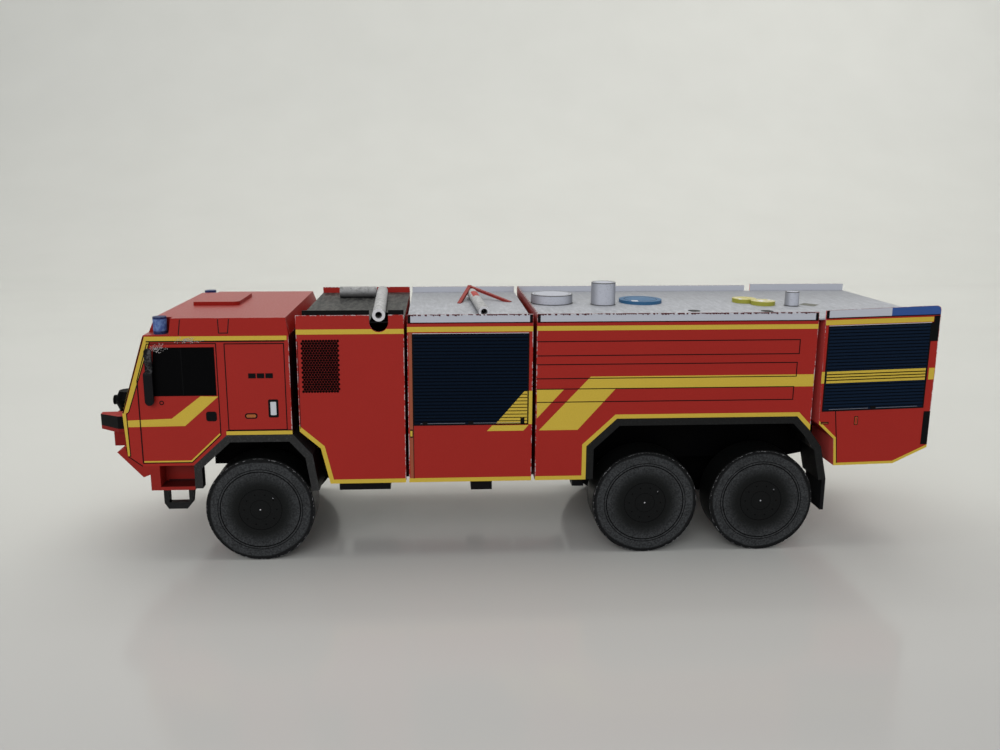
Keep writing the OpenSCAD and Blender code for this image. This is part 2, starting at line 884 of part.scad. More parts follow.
module twin_hatches() {
  color("#d8b62c")
    translate([tank_back_x + tank_len * 0.1233, -2, roof_z])
      union() {
        cylinder(d = twin_hatch_d, h = twin_hatch_t);
        translate([-0.55 * twin_hatch_d, 0.74 * twin_hatch_d, 0])
          cylinder(d = twin_hatch_d, h = twin_hatch_t);
      }
}

module small_vent() {
  color("#cfcfd0")
    translate([rear_front_x - 0.25, 4.2, roof_z]) cylinder(d = small_vent_d, h = small_vent_h);
}

// Running gear: a rolled axle turns in its bearer with both wheels glued to it
module axle_rod(x) {
  color("#8b7f6a")
    translate([x, wheel_face_y - card_t, axle_z])
      rotate([90, 0, 0])
        cylinder(d = axle_d, h = 2 * (wheel_face_y - card_t));
}

// A tyre is a rolled drum that is glued to the axle
module tyre_drum(x) {
  color("#2c2d2f")
    both_sides()
      translate([x, wheel_face_y - card_t, axle_z])
        rotate([90, 0, 0])
          difference() {
            cylinder(r = wheel_r, h = wheel_w - card_t);
            translate([0, 0, -1]) cylinder(d = axle_d, h = wheel_w + 2);
          }
}

module wheel_disc(x) {
  color("#3a3b3d")
    both_sides()
      translate([x, wheel_face_y, axle_z])
        rotate([90, 0, 0])
          cylinder(r = wheel_r - 0.15, h = card_t);
}

module front_axle() { axle_rod(front_axle_x); }
module front_tyres() { tyre_drum(front_axle_x); }
module front_wheel_discs() { wheel_disc(front_axle_x); }
module middle_axle() { axle_rod(middle_axle_x); }
module middle_tyres() { tyre_drum(middle_axle_x); }
module middle_wheel_discs() { wheel_disc(middle_axle_x); }
module rear_axle() { axle_rod(rear_axle_x); }
module rear_tyres() { tyre_drum(rear_axle_x); }
module rear_wheel_discs() { wheel_disc(rear_axle_x); }

chassis_beam();
front_axle_bearer();
rear_axle_bearer();
underbody_boxes();
box_spacers();
cab_shell();
cab_roof();
cab_hatch();
beacons();
mirrors();
front_bumper();
bumper_turret();
lower_valance();
step_boxes();
step_loops();
front_wheel_well();
front_fenders();
engine_shell();
engine_lid();
exhaust_long_tube();
exhaust_cross_tube();
pump_shell();
pump_roof();
roof_monitor();
monitor_handle();
tank_shell();
rear_shell();
deck_roof();
filler_can();
vent_can();
round_hatch();
twin_hatches();
small_vent();
rear_wheel_well();
rear_fenders();
mudflaps();
front_axle();
front_tyres();
front_wheel_discs();
middle_axle();
middle_tyres();
middle_wheel_discs();
rear_axle();
rear_tyres();
rear_wheel_discs();
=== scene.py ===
"""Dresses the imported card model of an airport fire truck.

The printed sheet is the look of this object, so its stripes, windows, shutters and lamps are thin
inked shapes laid on the folded panels, and every card has a grainy printed material with pale
cut edges. Lengths are in millimetres until a mesh is made.
"""

import math
import random

import bmesh
import bpy
from mathutils import Matrix, Vector


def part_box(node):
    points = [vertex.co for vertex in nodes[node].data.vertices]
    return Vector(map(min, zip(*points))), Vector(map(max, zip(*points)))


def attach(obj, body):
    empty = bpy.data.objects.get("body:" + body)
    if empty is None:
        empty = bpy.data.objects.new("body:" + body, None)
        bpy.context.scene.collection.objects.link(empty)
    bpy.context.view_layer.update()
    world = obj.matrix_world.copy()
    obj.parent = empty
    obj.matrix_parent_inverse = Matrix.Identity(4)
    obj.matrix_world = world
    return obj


MM = 0.001
INK_STEP = 0.02     # height of one printed layer above the panel
INK_SEAT = 0.02     # how far a print reaches into the panel

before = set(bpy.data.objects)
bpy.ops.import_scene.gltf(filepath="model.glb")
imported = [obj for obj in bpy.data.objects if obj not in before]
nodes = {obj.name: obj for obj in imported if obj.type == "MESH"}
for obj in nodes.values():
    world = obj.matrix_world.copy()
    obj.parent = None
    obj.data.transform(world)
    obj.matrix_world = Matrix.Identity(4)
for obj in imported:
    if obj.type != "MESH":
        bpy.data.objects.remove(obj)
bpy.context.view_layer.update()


def add_object(name, data):
    added = bpy.data.objects.new(name, data)
    bpy.context.collection.objects.link(added)
    return added


def box_mm(name):
    """Lowest and highest corner of a CAD node, in millimetres."""
    low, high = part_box(name)
    return Vector(low) / MM, Vector(high) / MM


# Places read from the frame
cab_low, cab_high = box_mm("cab_shell")
roof_high = box_mm("cab_roof")[1]
engine_low, engine_high = box_mm("engine_shell")
pump_low, pump_high = box_mm("pump_shell")
tank_low, tank_high = box_mm("tank_shell")
rear_low, rear_high = box_mm("rear_shell")
deck_z = box_mm("deck_roof")[1].z
half_w = tank_high.y
card_t = 0.3
nose_x = cab_high.x
nose_z = 35.2           # where the windscreen meets the lower front
chin_z = 25.4           # foot of the lower front
chin_back = 0.5         # set-back of that foot
arch_z = 30.0           # top of the front arch on the cab
cab_back_x = cab_low.x
sill_z = tank_low.z
wall_top_z = tank_high.z
fold_z = cab_high.z
wheel_face_y = box_mm("front_wheel_discs")[1].y
wheels = {}
for axle in ("front", "middle", "rear"):
    low, high = box_mm(axle + "_tyres")
    wheels[axle] = ((low.x + high.x) / 2, (low.z + high.z) / 2, (high.z - low.z) / 2)


# Materials

class Shader:
    """A few shorthands for building one material's nodes."""

    def __init__(self, name):
        self.material = bpy.data.materials.new(name)
        self.material.use_nodes = True
        self.nodes = self.material.node_tree.nodes
        self.links = self.material.node_tree.links
        self.surface = self.nodes["Principled BSDF"]
        self.place = self.nodes.new("ShaderNodeTexCoord").outputs["Object"]

    def set(self, **values):
        for key, value in values.items():
            self.surface.inputs[key.replace("_", " ")].default_value = value

    def feed(self, socket, value):
        if isinstance(value, bpy.types.NodeSocket):
            self.links.new(value, socket)
        else:
            socket.default_value = value

    def math(self, operation, *values):
        node = self.nodes.new("ShaderNodeMath")
        node.operation = operation
        for socket, value in zip(node.inputs, values):
            self.feed(socket, value)
        return node.outputs[0]

    def times(self, a, b):
        return self.math("MULTIPLY", a, b)

    def noise(self, grain_mm, detail=2.0, roughness=0.5, stretch=(1, 1, 1)):
        mapping = self.nodes.new("ShaderNodeMapping")
        mapping.inputs["Scale"].default_value = stretch
        self.links.new(self.place, mapping.inputs["Vector"])
        node = self.nodes.new("ShaderNodeTexNoise")
        node.inputs["Scale"].default_value = 1.0 / (grain_mm * MM)
        node.inputs["Detail"].default_value = detail
        node.inputs["Roughness"].default_value = roughness
        self.links.new(mapping.outputs["Vector"], node.inputs["Vector"])
        return node.outputs["Fac"]

    def ramp(self, value, start, end):
        """0 at the start and before it, 1 at the end and past it, smooth between; it may run downwards."""
        node = self.nodes.new("ShaderNodeMapRange")
        node.interpolation_type = "SMOOTHSTEP"
        self.feed(node.inputs["Value"], value)
        node.inputs["From Min"].default_value = start
        node.inputs["From Max"].default_value = end
        return node.outputs["Result"]

    def mix(self, factor, a, b, amount=1.0):
        """a where the factor is 0, b where it is 1, with no more of b than the amount."""
        node = self.nodes.new("ShaderNodeMix")
        node.data_type = "RGBA"
        self.feed(node.inputs["Factor"], factor if amount == 1.0 else self.times(factor, amount))
        for socket, value in ((node.inputs["A"], a), (node.inputs["B"], b)):
            self.feed(socket, value if isinstance(value, bpy.types.NodeSocket) else (*value, 1.0))
        return node.outputs["Result"]

    def axis(self, vector, name):
        node = self.nodes.new("ShaderNodeSeparateXYZ")
        self.links.new(vector, node.inputs["Vector"])
        return node.outputs[name]

    def place_along(self, name):
        return self.axis(self.place, name)

    def facing(self, name):
        """How far the face looks along one axis, from -1 to 1."""
        return self.axis(self.nodes.new("ShaderNodeNewGeometry").outputs["True Normal"], name)

    def looks_along(self, name, least):
        """1 on faces that look along an axis, either way."""
        return self.math("GREATER_THAN", self.math("ABSOLUTE", self.facing(name)), least)

    def upright(self):
        """1 on walls, 0 on level faces."""
        return self.math("LESS_THAN", self.math("ABSOLUTE", self.facing("Z")), 0.5)

    def bump(self, height, strength, depth_mm):
        node = self.nodes.new("ShaderNodeBump")
        node.inputs["Strength"].default_value = strength
        node.inputs["Distance"].default_value = depth_mm * MM
        self.links.new(height, node.inputs["Height"])
        self.links.new(node.outputs["Normal"], self.surface.inputs["Normal"])

    def colour(self, value):
        self.feed(self.surface.inputs["Base Color"], value)
        return self.material


def shade(colour, factor):
    return tuple(min(1.0, c * factor) for c in colour)


def card_base(shader, colour, grain=0.16, gloss=0.42, sheen=0.2):
    """Printed card: ink grain, soft mottling, paper fibres in the bump and the gloss."""
    fine = shader.noise(0.28, detail=3.0, roughness=0.7)
    mottle = shader.noise(9.0, detail=3.0)
    fibres = shader.noise(0.45, detail=4.0, roughness=0.65, stretch=(1.0, 1.0, 0.45))
    ink = shader.mix(fine, shade(colour, 1 - grain), shade(colour, 1 + grain))
    ink = shader.mix(mottle, ink, shade(colour, 0.82), 0.35)
    shader.feed(shader.surface.inputs["Roughness"], shader.math("MULTIPLY_ADD", fibres, 0.22, gloss - 0.08))
    shader.set(Specular_IOR_Level=sheen)
    shader.bump(fibres, 0.35, 0.03)
    return ink


def print_ink(name, colour, **look):
    shader = Shader(name)
    return shader.colour(card_base(shader, colour, **look))


PAPER = (0.66, 0.65, 0.66)


def worn_card(name, colour, edges_x=(), edges_z=(), edges_y=(), inside=None, back=None, front=None,
              level=None, level_sheen=None, gloss=0.42, wear=0.3, sheen=0.2):
    """Printed card with pale flecks along its folds and bare paper on its upward cut edges.

    The faces that look into the box, back, forward or straight up can be given colours of their own, which
    some boxes use for painted shade and painted light, and those that look straight up a sheen of their own.
    """
    shader = Shader(name)
    ink = card_base(shader, colour, gloss=gloss, sheen=sheen)
    facing = {a: shader.facing(a) for a in "XYZ"}
    place = {a: shader.place_along(a) for a in "XYZ"}
    flecks = shader.noise(0.7, detail=4.0, roughness=0.75)
    worn = None
    for name_of_axis, edges in zip("XYZ", (edges_x, edges_y, edges_z)):
        across = shader.math("LESS_THAN", shader.math("ABSOLUTE", facing[name_of_axis]), 0.7)
        for edge in edges:
            off = shader.math("ABSOLUTE", shader.math("SUBTRACT", place[name_of_axis], edge * MM))
            near = shader.times(shader.ramp(off, wear * MM, 0.05 * MM), across)
            worn = near if worn is None else shader.math("MAXIMUM", worn, near)
    if inside:
        reach = shader.math("ABSOLUTE", place["Y"])
        within = shader.math("LESS_THAN", reach, (half_w - card_t / 2) * MM)
        ink = shader.mix(shader.times(within, shader.looks_along("Y", 0.7)), ink, inside)
    if back:
        ink = shader.mix(shader.math("LESS_THAN", facing["X"], -0.7), ink, back)
    if front:
        ink = shader.mix(shader.math("GREATER_THAN", facing["X"], 0.7), ink, front)
    if level:
        flat = shader.ramp(facing["Z"], 0.8, 0.95)
        ink = shader.mix(flat, ink, level)
        if level_sheen:
            shine = shader.math("MULTIPLY_ADD", flat, level_sheen - sheen, sheen)
            shader.feed(shader.surface.inputs["Specular IOR Level"], shine)
    if worn is not None:
        patches = shader.times(flecks, shader.math("ADD", shader.noise(5.0), 0.52))
        broken = shader.ramp(shader.times(worn, patches), 0.45, 0.58)
        ink = shader.mix(broken, ink, PAPER, 0.65)
    if edges_z:
        upward = shader.ramp(facing["Z"], 0.75, 0.9)
        ink = shader.mix(upward, ink, shade(colour, 0.3))
        cut = shader.times(upward, shader.ramp(flecks, 0.52, 0.62))
        ink = shader.mix(cut, ink, PAPER)
    return shader.colour(ink)


RED = (0.37, 0.018, 0.012)
DARK_RED = (0.23, 0.012, 0.010)
BLACK = (0.006, 0.006, 0.007)
DEEP_BLACK = (0.0012, 0.0012, 0.0014)
CHARCOAL = (0.010, 0.0108, 0.0106)
YELLOW = (0.63, 0.445, 0.051)
NAVY = (0.0026, 0.0078, 0.0190)
GREY = (0.53, 0.545, 0.60)
ROOF_GREY = (0.37, 0.38, 0.405)
BLUE = (0.035, 0.09, 0.30)
HATCH_BLUE = (0.036, 0.125, 0.25)


# Printed shapes

class Panel:
    """A flat face that takes print: a point, two directions along it and one out of it."""

    def __init__(self, origin, right, up, out):
        self.origin = Vector(origin)
        self.right = Vector(right).normalized()
        self.up = Vector(up).normalized()
        self.out = Vector(out).normalized()

    def at(self, point, height):
        return (self.origin + self.right * point[0] + self.up * point[1] + self.out * height) * MM


ALONG = (1, 0, 0)
ACROSS = (0, 1, 0)
UP = (0, 0, 1)


def level_panel(z):
    return Panel((0, 0, z), ALONG, ACROSS, UP)


LEFT = Panel((0, half_w, 0), ALONG, UP, ACROSS)
RIGHT = Panel((0, -half_w, 0), ALONG, UP, (0, -1, 0))
SIDES = (LEFT, RIGHT)


def rectangle(x0, x1, z0, z1):
    return [(x0, z0), (x1, z0), (x1, z1), (x0, z1)]


def circle(x, z, radius, count=48):
    turns = [2 * math.pi * i / count for i in range(count)]
    return [(x + radius * math.cos(t), z + radius * math.sin(t)) for t in turns]


def offset_path(points, distance, closed=False):
    """The path moved to its left by a distance, with mitred corners."""
    moved = []
    count = len(points)
    for i in range(count):
        here = Vector(points[i])
        before = Vector(points[i - 1]) if closed or i > 0 else None
        after = Vector(points[(i + 1) % count]) if closed or i < count - 1 else None
        legs = [(here - before).normalized()] if before is not None else []
        if after is not None:
            legs.append((after - here).normalized())
        normals = [Vector((-leg.y, leg.x)) for leg in legs]
        total = sum(normals, Vector((0, 0)))
        moved.append(here + total * distance * 2 / (total.length_squared + 1e-9) * len(normals) / 2)
    return [(p.x, p.y) for p in moved]


class Ink:
    """All the shapes printed in one colour on one body, gathered into a single mesh."""

    def __init__(self, name, material, slot, body="truck"):
        self.name = name
        self.material = material
        self.slot = slot
        self.body = body
        self.shapes = bmesh.new()

    def ring(self, panel, outer, inner, layer=1):
        loops = []
        for outline, height in ((outer, layer * INK_STEP), (inner, layer * INK_STEP),
                                (inner, -INK_SEAT), (outer, -INK_SEAT)):
            loops.append([self.shapes.verts.new(panel.at(p, height)) for p in outline])
        count = len(outer)
        for a, b in ((0, 1), (1, 2), (2, 3), (3, 0)):
            for i in range(count):
                j = (i + 1) % count
                self.shapes.faces.new((loops[a][i], loops[a][j], loops[b][j], loops[b][i]))

    def fill(self, panel, outline, layer=1):
        top = [self.shapes.verts.new(panel.at(p, layer * INK_STEP)) for p in outline]
        bottom = [self.shapes.verts.new(panel.at(p, -INK_SEAT)) for p in outline]
        self.shapes.faces.new(top)
        self.shapes.faces.new(list(reversed(bottom)))
        count = len(outline)
        for i in range(count):
            j = (i + 1) % count
            self.shapes.faces.new((top[i], bottom[i], bottom[j], top[j]))

    def hoop(self, panel, middle, radius, width, layer=1, count=48):
        """A round line whose outer side has the radius."""
        self.ring(panel, circle(*middle, radius, count), circle(*middle, radius - width, count), layer)

    def line(self, panel, points, width, layer=1, closed=False):
        left = offset_path(points, width / 2, closed)
        right = offset_path(points, -width / 2, closed)
        if closed:
            self.ring(panel, left, right, layer)
        else:
            self.fill(panel, left + list(reversed(right)), layer)

    def edging(self, panel, points, width, layer=1):
        """A line whose left side follows the path; its ends are cut upright, as the panel's edges are."""
        inner = offset_path(points, -width)
        for end, next_in in ((0, 1), (-1, -2)):
            run = points[next_in][0] - points[end][0]
            rise = points[next_in][1] - points[end][1]
            if abs(run) > 0.01:
                slide = (points[end][0] - inner[end][0]) / run
                inner[end] = (inner[end][0] + slide * run, inner[end][1] + slide * rise)
        self.fill(panel, list(points) + list(reversed(inner)), layer)

    def finish(self):
        bmesh.ops.recalc_face_normals(self.shapes, faces=self.shapes.faces)
        mesh = bpy.data.meshes.new(self.name)
        self.shapes.to_mesh(mesh)
        self.shapes.free()
        mesh.materials.append(self.material)
        piece = add_object(self.name, mesh)
        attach(piece, self.body)


line_ink = print_ink("shutter_line_print", DEEP_BLACK, sheen=0.03)
white_ink = print_ink("white_print", (0.62, 0.63, 0.66), grain=0.05)
red_ink = print_ink("red_print", RED)
rub_ink = print_ink("rim_rub_print", (0.26, 0.26, 0.265), grain=0.3)

yellow = Ink("stripes_yellow", print_ink("yellow_print", YELLOW), "yellow_card")
black = Ink("lines_black", print_ink("black_print", shade(BLACK, 0.6), sheen=0.08), "black_card")
slat_lines = Ink("shutter_lines", line_ink, "black_card")
window = Ink("windows", print_ink("window_print", shade(BLACK, 0.3), gloss=0.40, sheen=0.03), "black_card")
navy = Ink("shutters_navy", print_ink("navy_print", NAVY, sheen=0.04), "blue_card")
rear_navy = Ink("rear_shutters_navy", print_ink("rear_navy_print", shade(NAVY, 1.6), sheen=0.06), "blue_card")
grey = Ink("roof_edge_strips", print_ink("grey_print", GREY, grain=0.05), "grey_card")
blue = Ink("rear_warning_strip", print_ink("blue_print", BLUE), "blue_card")
white = Ink("lamps_white", white_ink, "grey_card")
rail = Ink("shutter_rails", print_ink("rail_print", (0.20, 0.21, 0.24)), "grey_card")
ragged = Ink("ragged_edges", print_ink("ragged_print", (0.075, 0.012, 0.016)), "red_card")
# painted shadow low on the back walls of the step boxes
shadow = Ink("step_painted_shadows", print_ink("step_shadow_print", (0.035, 0.003, 0.003)), "red_card")
# painted shade: a black with no sheen for the dark hole under the exhaust in the engine lid's notch
notch_shade = Ink("exhaust_notch_shade", print_ink("notch_shade_print", DEEP_BLACK, sheen=0.0), "black_card")
fold = Ink("fold_strips", print_ink("fold_print", (0.33, 0.085, 0.04)), "red_card")
amber = Ink("markers_amber", print_ink("amber_print", (0.40, 0.12, 0.03)), "yellow_card")
red = Ink("red_over_print", red_ink, "red_card")
olive = Ink("roof_marks", print_ink("olive_print", (0.11, 0.11, 0.09)), "grey_card")
glue = Ink("glue_smears", print_ink("glue_print", (0.50, 0.47, 0.46), grain=0.3, gloss=0.3), "grey_card")

THIN = 0.2                  # width of a fine printed line
EDGE_LINE = 0.95            # width of the yellow line along the lower edges
REAR_WALL_CLIMB = 0.0393    # slope of the rear box's left wall top
REAR_PRINT_CLIMB = 0.028    # slope of the prints on that wall


def cab_side_prints(panel):
    """Door, window, locker and stripes of the cab; x is counted back from the nose."""
    def at(back, z):
        return nose_x - back, z

    stripe_low = fold_z - 0.95
    nose, chin = at(0, nose_z), at(chin_back, chin_z)
    sill = at(3.5, 23.1)

    yellow.fill(panel, [at(5.6, stripe_low), at(36.1, stripe_low), at(36.1, fold_z), at(5.9, fold_z)])
    black.line(panel, [at(6.2, fold_z - 1.1), at(35.6, fold_z - 1.15)], 0.28, 2)
    yellow.fill(panel, [at(5.6, stripe_low), at(0.3, nose_z), at(1.35, nose_z + 0.2), at(6.9, stripe_low)])
    yellow.fill(panel, [nose, chin, at(0.95, 25.6), at(0.75, 35.3)])
    black.line(panel, [at(6.95, fold_z - 1.3), at(1.45, 35.6), at(0.9, 35.0), at(1.05, 25.3)], THIN, 2)
    black.line(panel, [at(5.72, fold_z), at(0.12, 35.25)], THIN, 2)
    black.line(panel, [chin, sill], THIN, 2)

    hinge = [at(3.7, 42.6), at(3.7, 23.8)]
    door = [*hinge, at(14.3, 23.8), at(20.9, arch_z), at(20.9, 50.6), at(6.3, 50.6)]
    black.line(panel, door, THIN, 2, closed=True)
    yellow.line(panel, [at(3.9, 24.1), at(14.2, 24.1), at(20.75, 30.3)], 0.33, 2)
    window.fill(panel, [at(6.5, 39.0), at(20.5, 39.0), at(20.5, 49.8), at(7.6, 49.8)], 2)
    black.line(panel, [at(13.4, 39.2), at(13.4, 49.6)], 0.12, 3)
    yellow.fill(panel, [at(0.8, 33.6), at(10.5, 33.9), at(17.0, 38.9), at(20.8, 38.8),
                        at(13.3, 32.2), at(0.9, 32.1)])
    black.line(panel, hinge, 0.24, 3)
    black.fill(panel, rounded(at(19.1, 34.3), 2.3, 2.2, 0.5), 3)
    black.hoop(panel, at(8.6, 37.5), 0.5, 0.2, 3, 16)

    locker = [at(22.7, 50.5), at(22.7, 31.1), at(35.4, 31.1), at(35.4, 50.5)]
    black.line(panel, locker, THIN, 2, closed=True)
    for slot_number in range(3):
        start = 27.5 + slot_number * 1.85
        black.fill(panel, rectangle(nose_x - start - 1.6, nose_x - start, 42.8, 43.9), 2)
    lamp_mid = at(32.6, 35.95)
    black.fill(panel, rounded(lamp_mid, 2.2, 4.1, 0.3), 2)
    white.fill(panel, rounded(lamp_mid, 1.25, 3.0, 0.15), 3)
    marker_mid = at(27.7, 34.3)
    black.fill(panel, rounded(marker_mid, 2.7, 1.25, 0.5), 2)
    amber.fill(panel, rounded(marker_mid, 2.1, 0.7, 0.3), 3)
    yellow.edging(panel, [at(22.1, arch_z), (cab_back_x, arch_z)], 0.85)
    black.line(panel, [at(22.2, arch_z + 1.0), (cab_back_x, arch_z + 1.0)], THIN, 2)


def rounded(middle, width, height, radius):
    """A rectangle with round corners."""
    points = []
    corners = ((1, 1, 0), (-1, 1, 90), (-1, -1, 180), (1, -1, 270))
    for sign_x, sign_z, start in corners:
        mid_x = middle[0] + sign_x * (width / 2 - radius)
        mid_z = middle[1] + sign_z * (height / 2 - radius)
        for step in range(4):
            turn = math.radians(start + step * 30)
            points.append((mid_x + radius * math.cos(turn), mid_z + radius * math.sin(turn)))
    return points


def top_strip(panel, front_x, back_x, top_z):
    """Pale strip along a box's upper edge between two black end blocks, with a line under it."""
    low, high = top_z - 1.85, top_z - 0.12
    block = 0.75
    grey.fill(panel, rectangle(back_x + block, front_x - block, low, high))
    black.fill(panel, rectangle(front_x - block, front_x - 0.1, low, high), 2)
    black.fill(panel, rectangle(back_x + 0.1, back_x + block, low, high), 2)
    black.line(panel, [(front_x - 0.1, low), (back_x + 0.1, low)], 0.22, 2)
    ragged_edge(panel, front_x, back_x, top_z)


def ragged_edge(panel, front_x, back_x, top_z):
    """The rough cut along a wall's top: short dark and pale tears of uneven depth."""
    chance = random.Random(3)
    x = front_x - 0.1
    while x > back_x + 1.0:
        length = chance.uniform(0.2, 0.7)
        depth = chance.uniform(0.16, 0.42)
        tear = ragged if chance.random() < 0.78 else white
        tear.fill(panel, [(x, top_z - 0.01), (x - length, top_z - 0.01), (x - length * 0.9, top_z - depth),
                          (x - length * 0.15, top_z - depth * 0.8)], 3)
        x -= length


def rear_top_strip(panel, front_x, back_x, top_z, climb):
    """Half pale, half blue strip under the rear wall's top, which climbs by a slope over the print's own."""
    low, block, split_x = top_z - 1.75, 0.75, front_x - 15.05

    def top_at(x):
        return top_z - 0.01 + climb * (front_x - x)

    grey.fill(panel, [(split_x, low), (front_x - block, low), (front_x - block, top_at(front_x - block)),
                      (split_x, top_at(split_x))])
    black.fill(panel, rectangle(front_x - block, front_x - 0.1, low, top_z - 0.05), 2)
    corner = top_at(back_x + 0.9)
    blue.fill(panel, [(back_x + 0.05, low), (split_x, low), (split_x, top_at(split_x)),
                      (back_x + 0.95, corner - 0.02), (back_x + 0.3, corner - 0.35),
                      (back_x + 0.05, corner - 1.05)])
    black.line(panel, [(front_x - 0.1, low), (back_x + 0.1, low)], 0.22, 2)


def slats(panel, front_x, back_x, low_z, high_z, field=navy):
    """A roller shutter: a dark field, one line per slat, a pale line above and a broken rail below."""
    pitch = 0.74
    opening = rectangle(back_x, front_x, low_z, high_z)
    field.fill(panel, opening)
    black.line(panel, opening, 0.3, 3, closed=True)
    count = int((high_z - low_z) / pitch)
    for number in range(1, count):
        z = low_z + number * (high_z - low_z) / count
        slat_lines.line(panel, [(back_x + 0.2, z), (front_x - 0.2, z)], 0.17, 4)
    white.line(panel, [(back_x, high_z + 0.2), (front_x, high_z + 0.2)], 0.14, 2)
    width, rail_z = front_x - back_x, low_z + 0.32
    for start, end in ((0.06, 0.45), (0.52, 0.94)):
        rail.line(panel, [(front_x - width * start, rail_z), (front_x - width * end, rail_z)], 0.08, 5)


def engine_side_prints(panel):
    front_x, back_x = engine_high.x, engine_low.x
    low, high = wall_top_z - 4.2, wall_top_z - 3.1
    notch = []
    if panel is LEFT:
        notch_x, notch_z, notch_r = back_x + 5.4, wall_top_z - 1.65, 2.15
        reach = math.acos((notch_z - high) / notch_r)
        for step in range(13):
            turn = reach * (1 - step / 6)
            notch.append((notch_x + notch_r * math.sin(turn), notch_z - notch_r * math.cos(turn)))
        # Painted shade: a sheenless black patch on the lid under the exhaust, standing for the dark hole
        # below the notch.
        lid = level_panel(wall_top_z - 1.5)
        notch_shade.fill(lid, rectangle(notch_x - 2.0, notch_x + 2.0, half_w - 12.5, half_w - card_t - 0.02))
    yellow.fill(panel, [(back_x, low), (front_x, low), (front_x, high), *notch, (back_x, high)])
    arch = [(front_x, 30.6), (front_x - 4.5, 26.6), (front_x - 6.4, sill_z), (back_x, sill_z)]
    yellow.edging(panel, arch, EDGE_LINE)
    grille(panel, front_x - 9.1, front_x - 1.0, 39.4, 51.7)
    black.line(panel, [(front_x - 0.25, 31.2), (front_x - 0.25, 51.0)], 0.12, 2)


def grille(panel, back_x, front_x, low_z, high_z):
    """A printed mesh: rows of black round dots, each row half a pitch along from the last."""
    pitch = 0.62
    row_step = pitch * 0.866
    rows = int((high_z - low_z) / row_step)
    columns = int((front_x - back_x) / pitch)
    for row in range(rows):
        z = low_z + (row + 0.5) * row_step
        shift = 0.25 if row % 2 else 0.75
        for column in range(columns):
            slat_lines.fill(panel, circle(back_x + (column + shift) * pitch, z, 0.315, 8), 2)


def pump_side_prints(panel):
    front_x, back_x = pump_high.x, pump_low.x
    top_strip(panel, front_x, back_x, wall_top_z)
    yellow.fill(panel, rectangle(back_x, front_x, wall_top_z - 3.85, wall_top_z - 2.7))
    shutter_front, shutter_back = front_x - 1.15, back_x + 0.95
    low_z, high_z = 31.7, 52.2
    slats(panel, shutter_front, shutter_back, low_z, high_z)
    patch_top = 39.3
    yellow.fill(panel, [(back_x + 1.7, patch_top), (back_x, patch_top), (back_x, low_z - 0.1),
                        (back_x + 8.3, low_z - 0.1)], 3)
    yellow.fill(panel, [(back_x + 8.9, low_z - 0.3), (back_x + 10.1, 30.1), (back_x + 1.9, 30.1),
                        (back_x + 0.75, low_z - 0.3)])
    black.fill(panel, rectangle(back_x + 1.7, back_x + 2.6, low_z + 0.1, low_z + 1.4), 5)
    for share in (0.1, 0.5):
        latch_x = shutter_front - (shutter_front - shutter_back) * share
        black.fill(panel, rectangle(latch_x - 0.55, latch_x + 0.55, low_z - 0.1, low_z + 0.75), 6)
    black.line(panel, [(shutter_back, low_z), (shutter_back, high_z)], 0.28, 5)
    fold.fill(panel, rectangle(front_x - 1.05, front_x - 0.3, sill_z + 1.0, high_z + 0.4))
    black.line(panel, [(front_x - 1.1, sill_z + 0.9), (front_x - 1.1, high_z)], 0.14, 2)
    black.fill(panel, rectangle(front_x - 0.95, front_x - 0.35, 28.8, 30.7), 2)
    yellow.fill(panel, rectangle(front_x - 0.85, front_x - 0.4, 29.1, 30.4), 3)
    yellow.fill(panel, rectangle(back_x, front_x, sill_z, sill_z + EDGE_LINE))


def tank_side_prints(panel):
    front_x, back_x = tank_high.x, tank_low.x
    top_strip(panel, front_x, back_x, wall_top_z)
    yellow.fill(panel, rectangle(back_x, front_x, wall_top_z - 3.75, wall_top_z - 2.7))

    def at(back, z):
        return front_x - back, z

    yellow.fill(panel, [at(12.2, 42.4), at(63.0, 42.4), at(63.0, 39.6), at(17.9, 39.6),
                        at(9.5, 30.1), at(0.75, 30.1)])
    yellow.fill(panel, [at(0.15, 39.5), at(6.2, 39.5), at(0.25, 32.9)])
    for low, high, reach in ((47.2, 50.4, 59.2), (42.0, 45.2, 58.9), (36.6, 39.6, 58.5)):
        black.line(panel, [at(0.1, low), at(reach, low), at(reach, high), at(0.1, high)], THIN, 2)
    arch_front, _, arch_top = box_mm("rear_fenders")[1]
    top_front = arch_front - 6.8
    top_back = wheels["rear"][0] - 6.88
    path = [(front_x, sill_z), (arch_front, sill_z), (arch_front, arch_top - 6.4), (top_front, arch_top),
            (top_back, arch_top), (back_x, arch_top - 3.4)]
    yellow.edging(panel, path, EDGE_LINE)


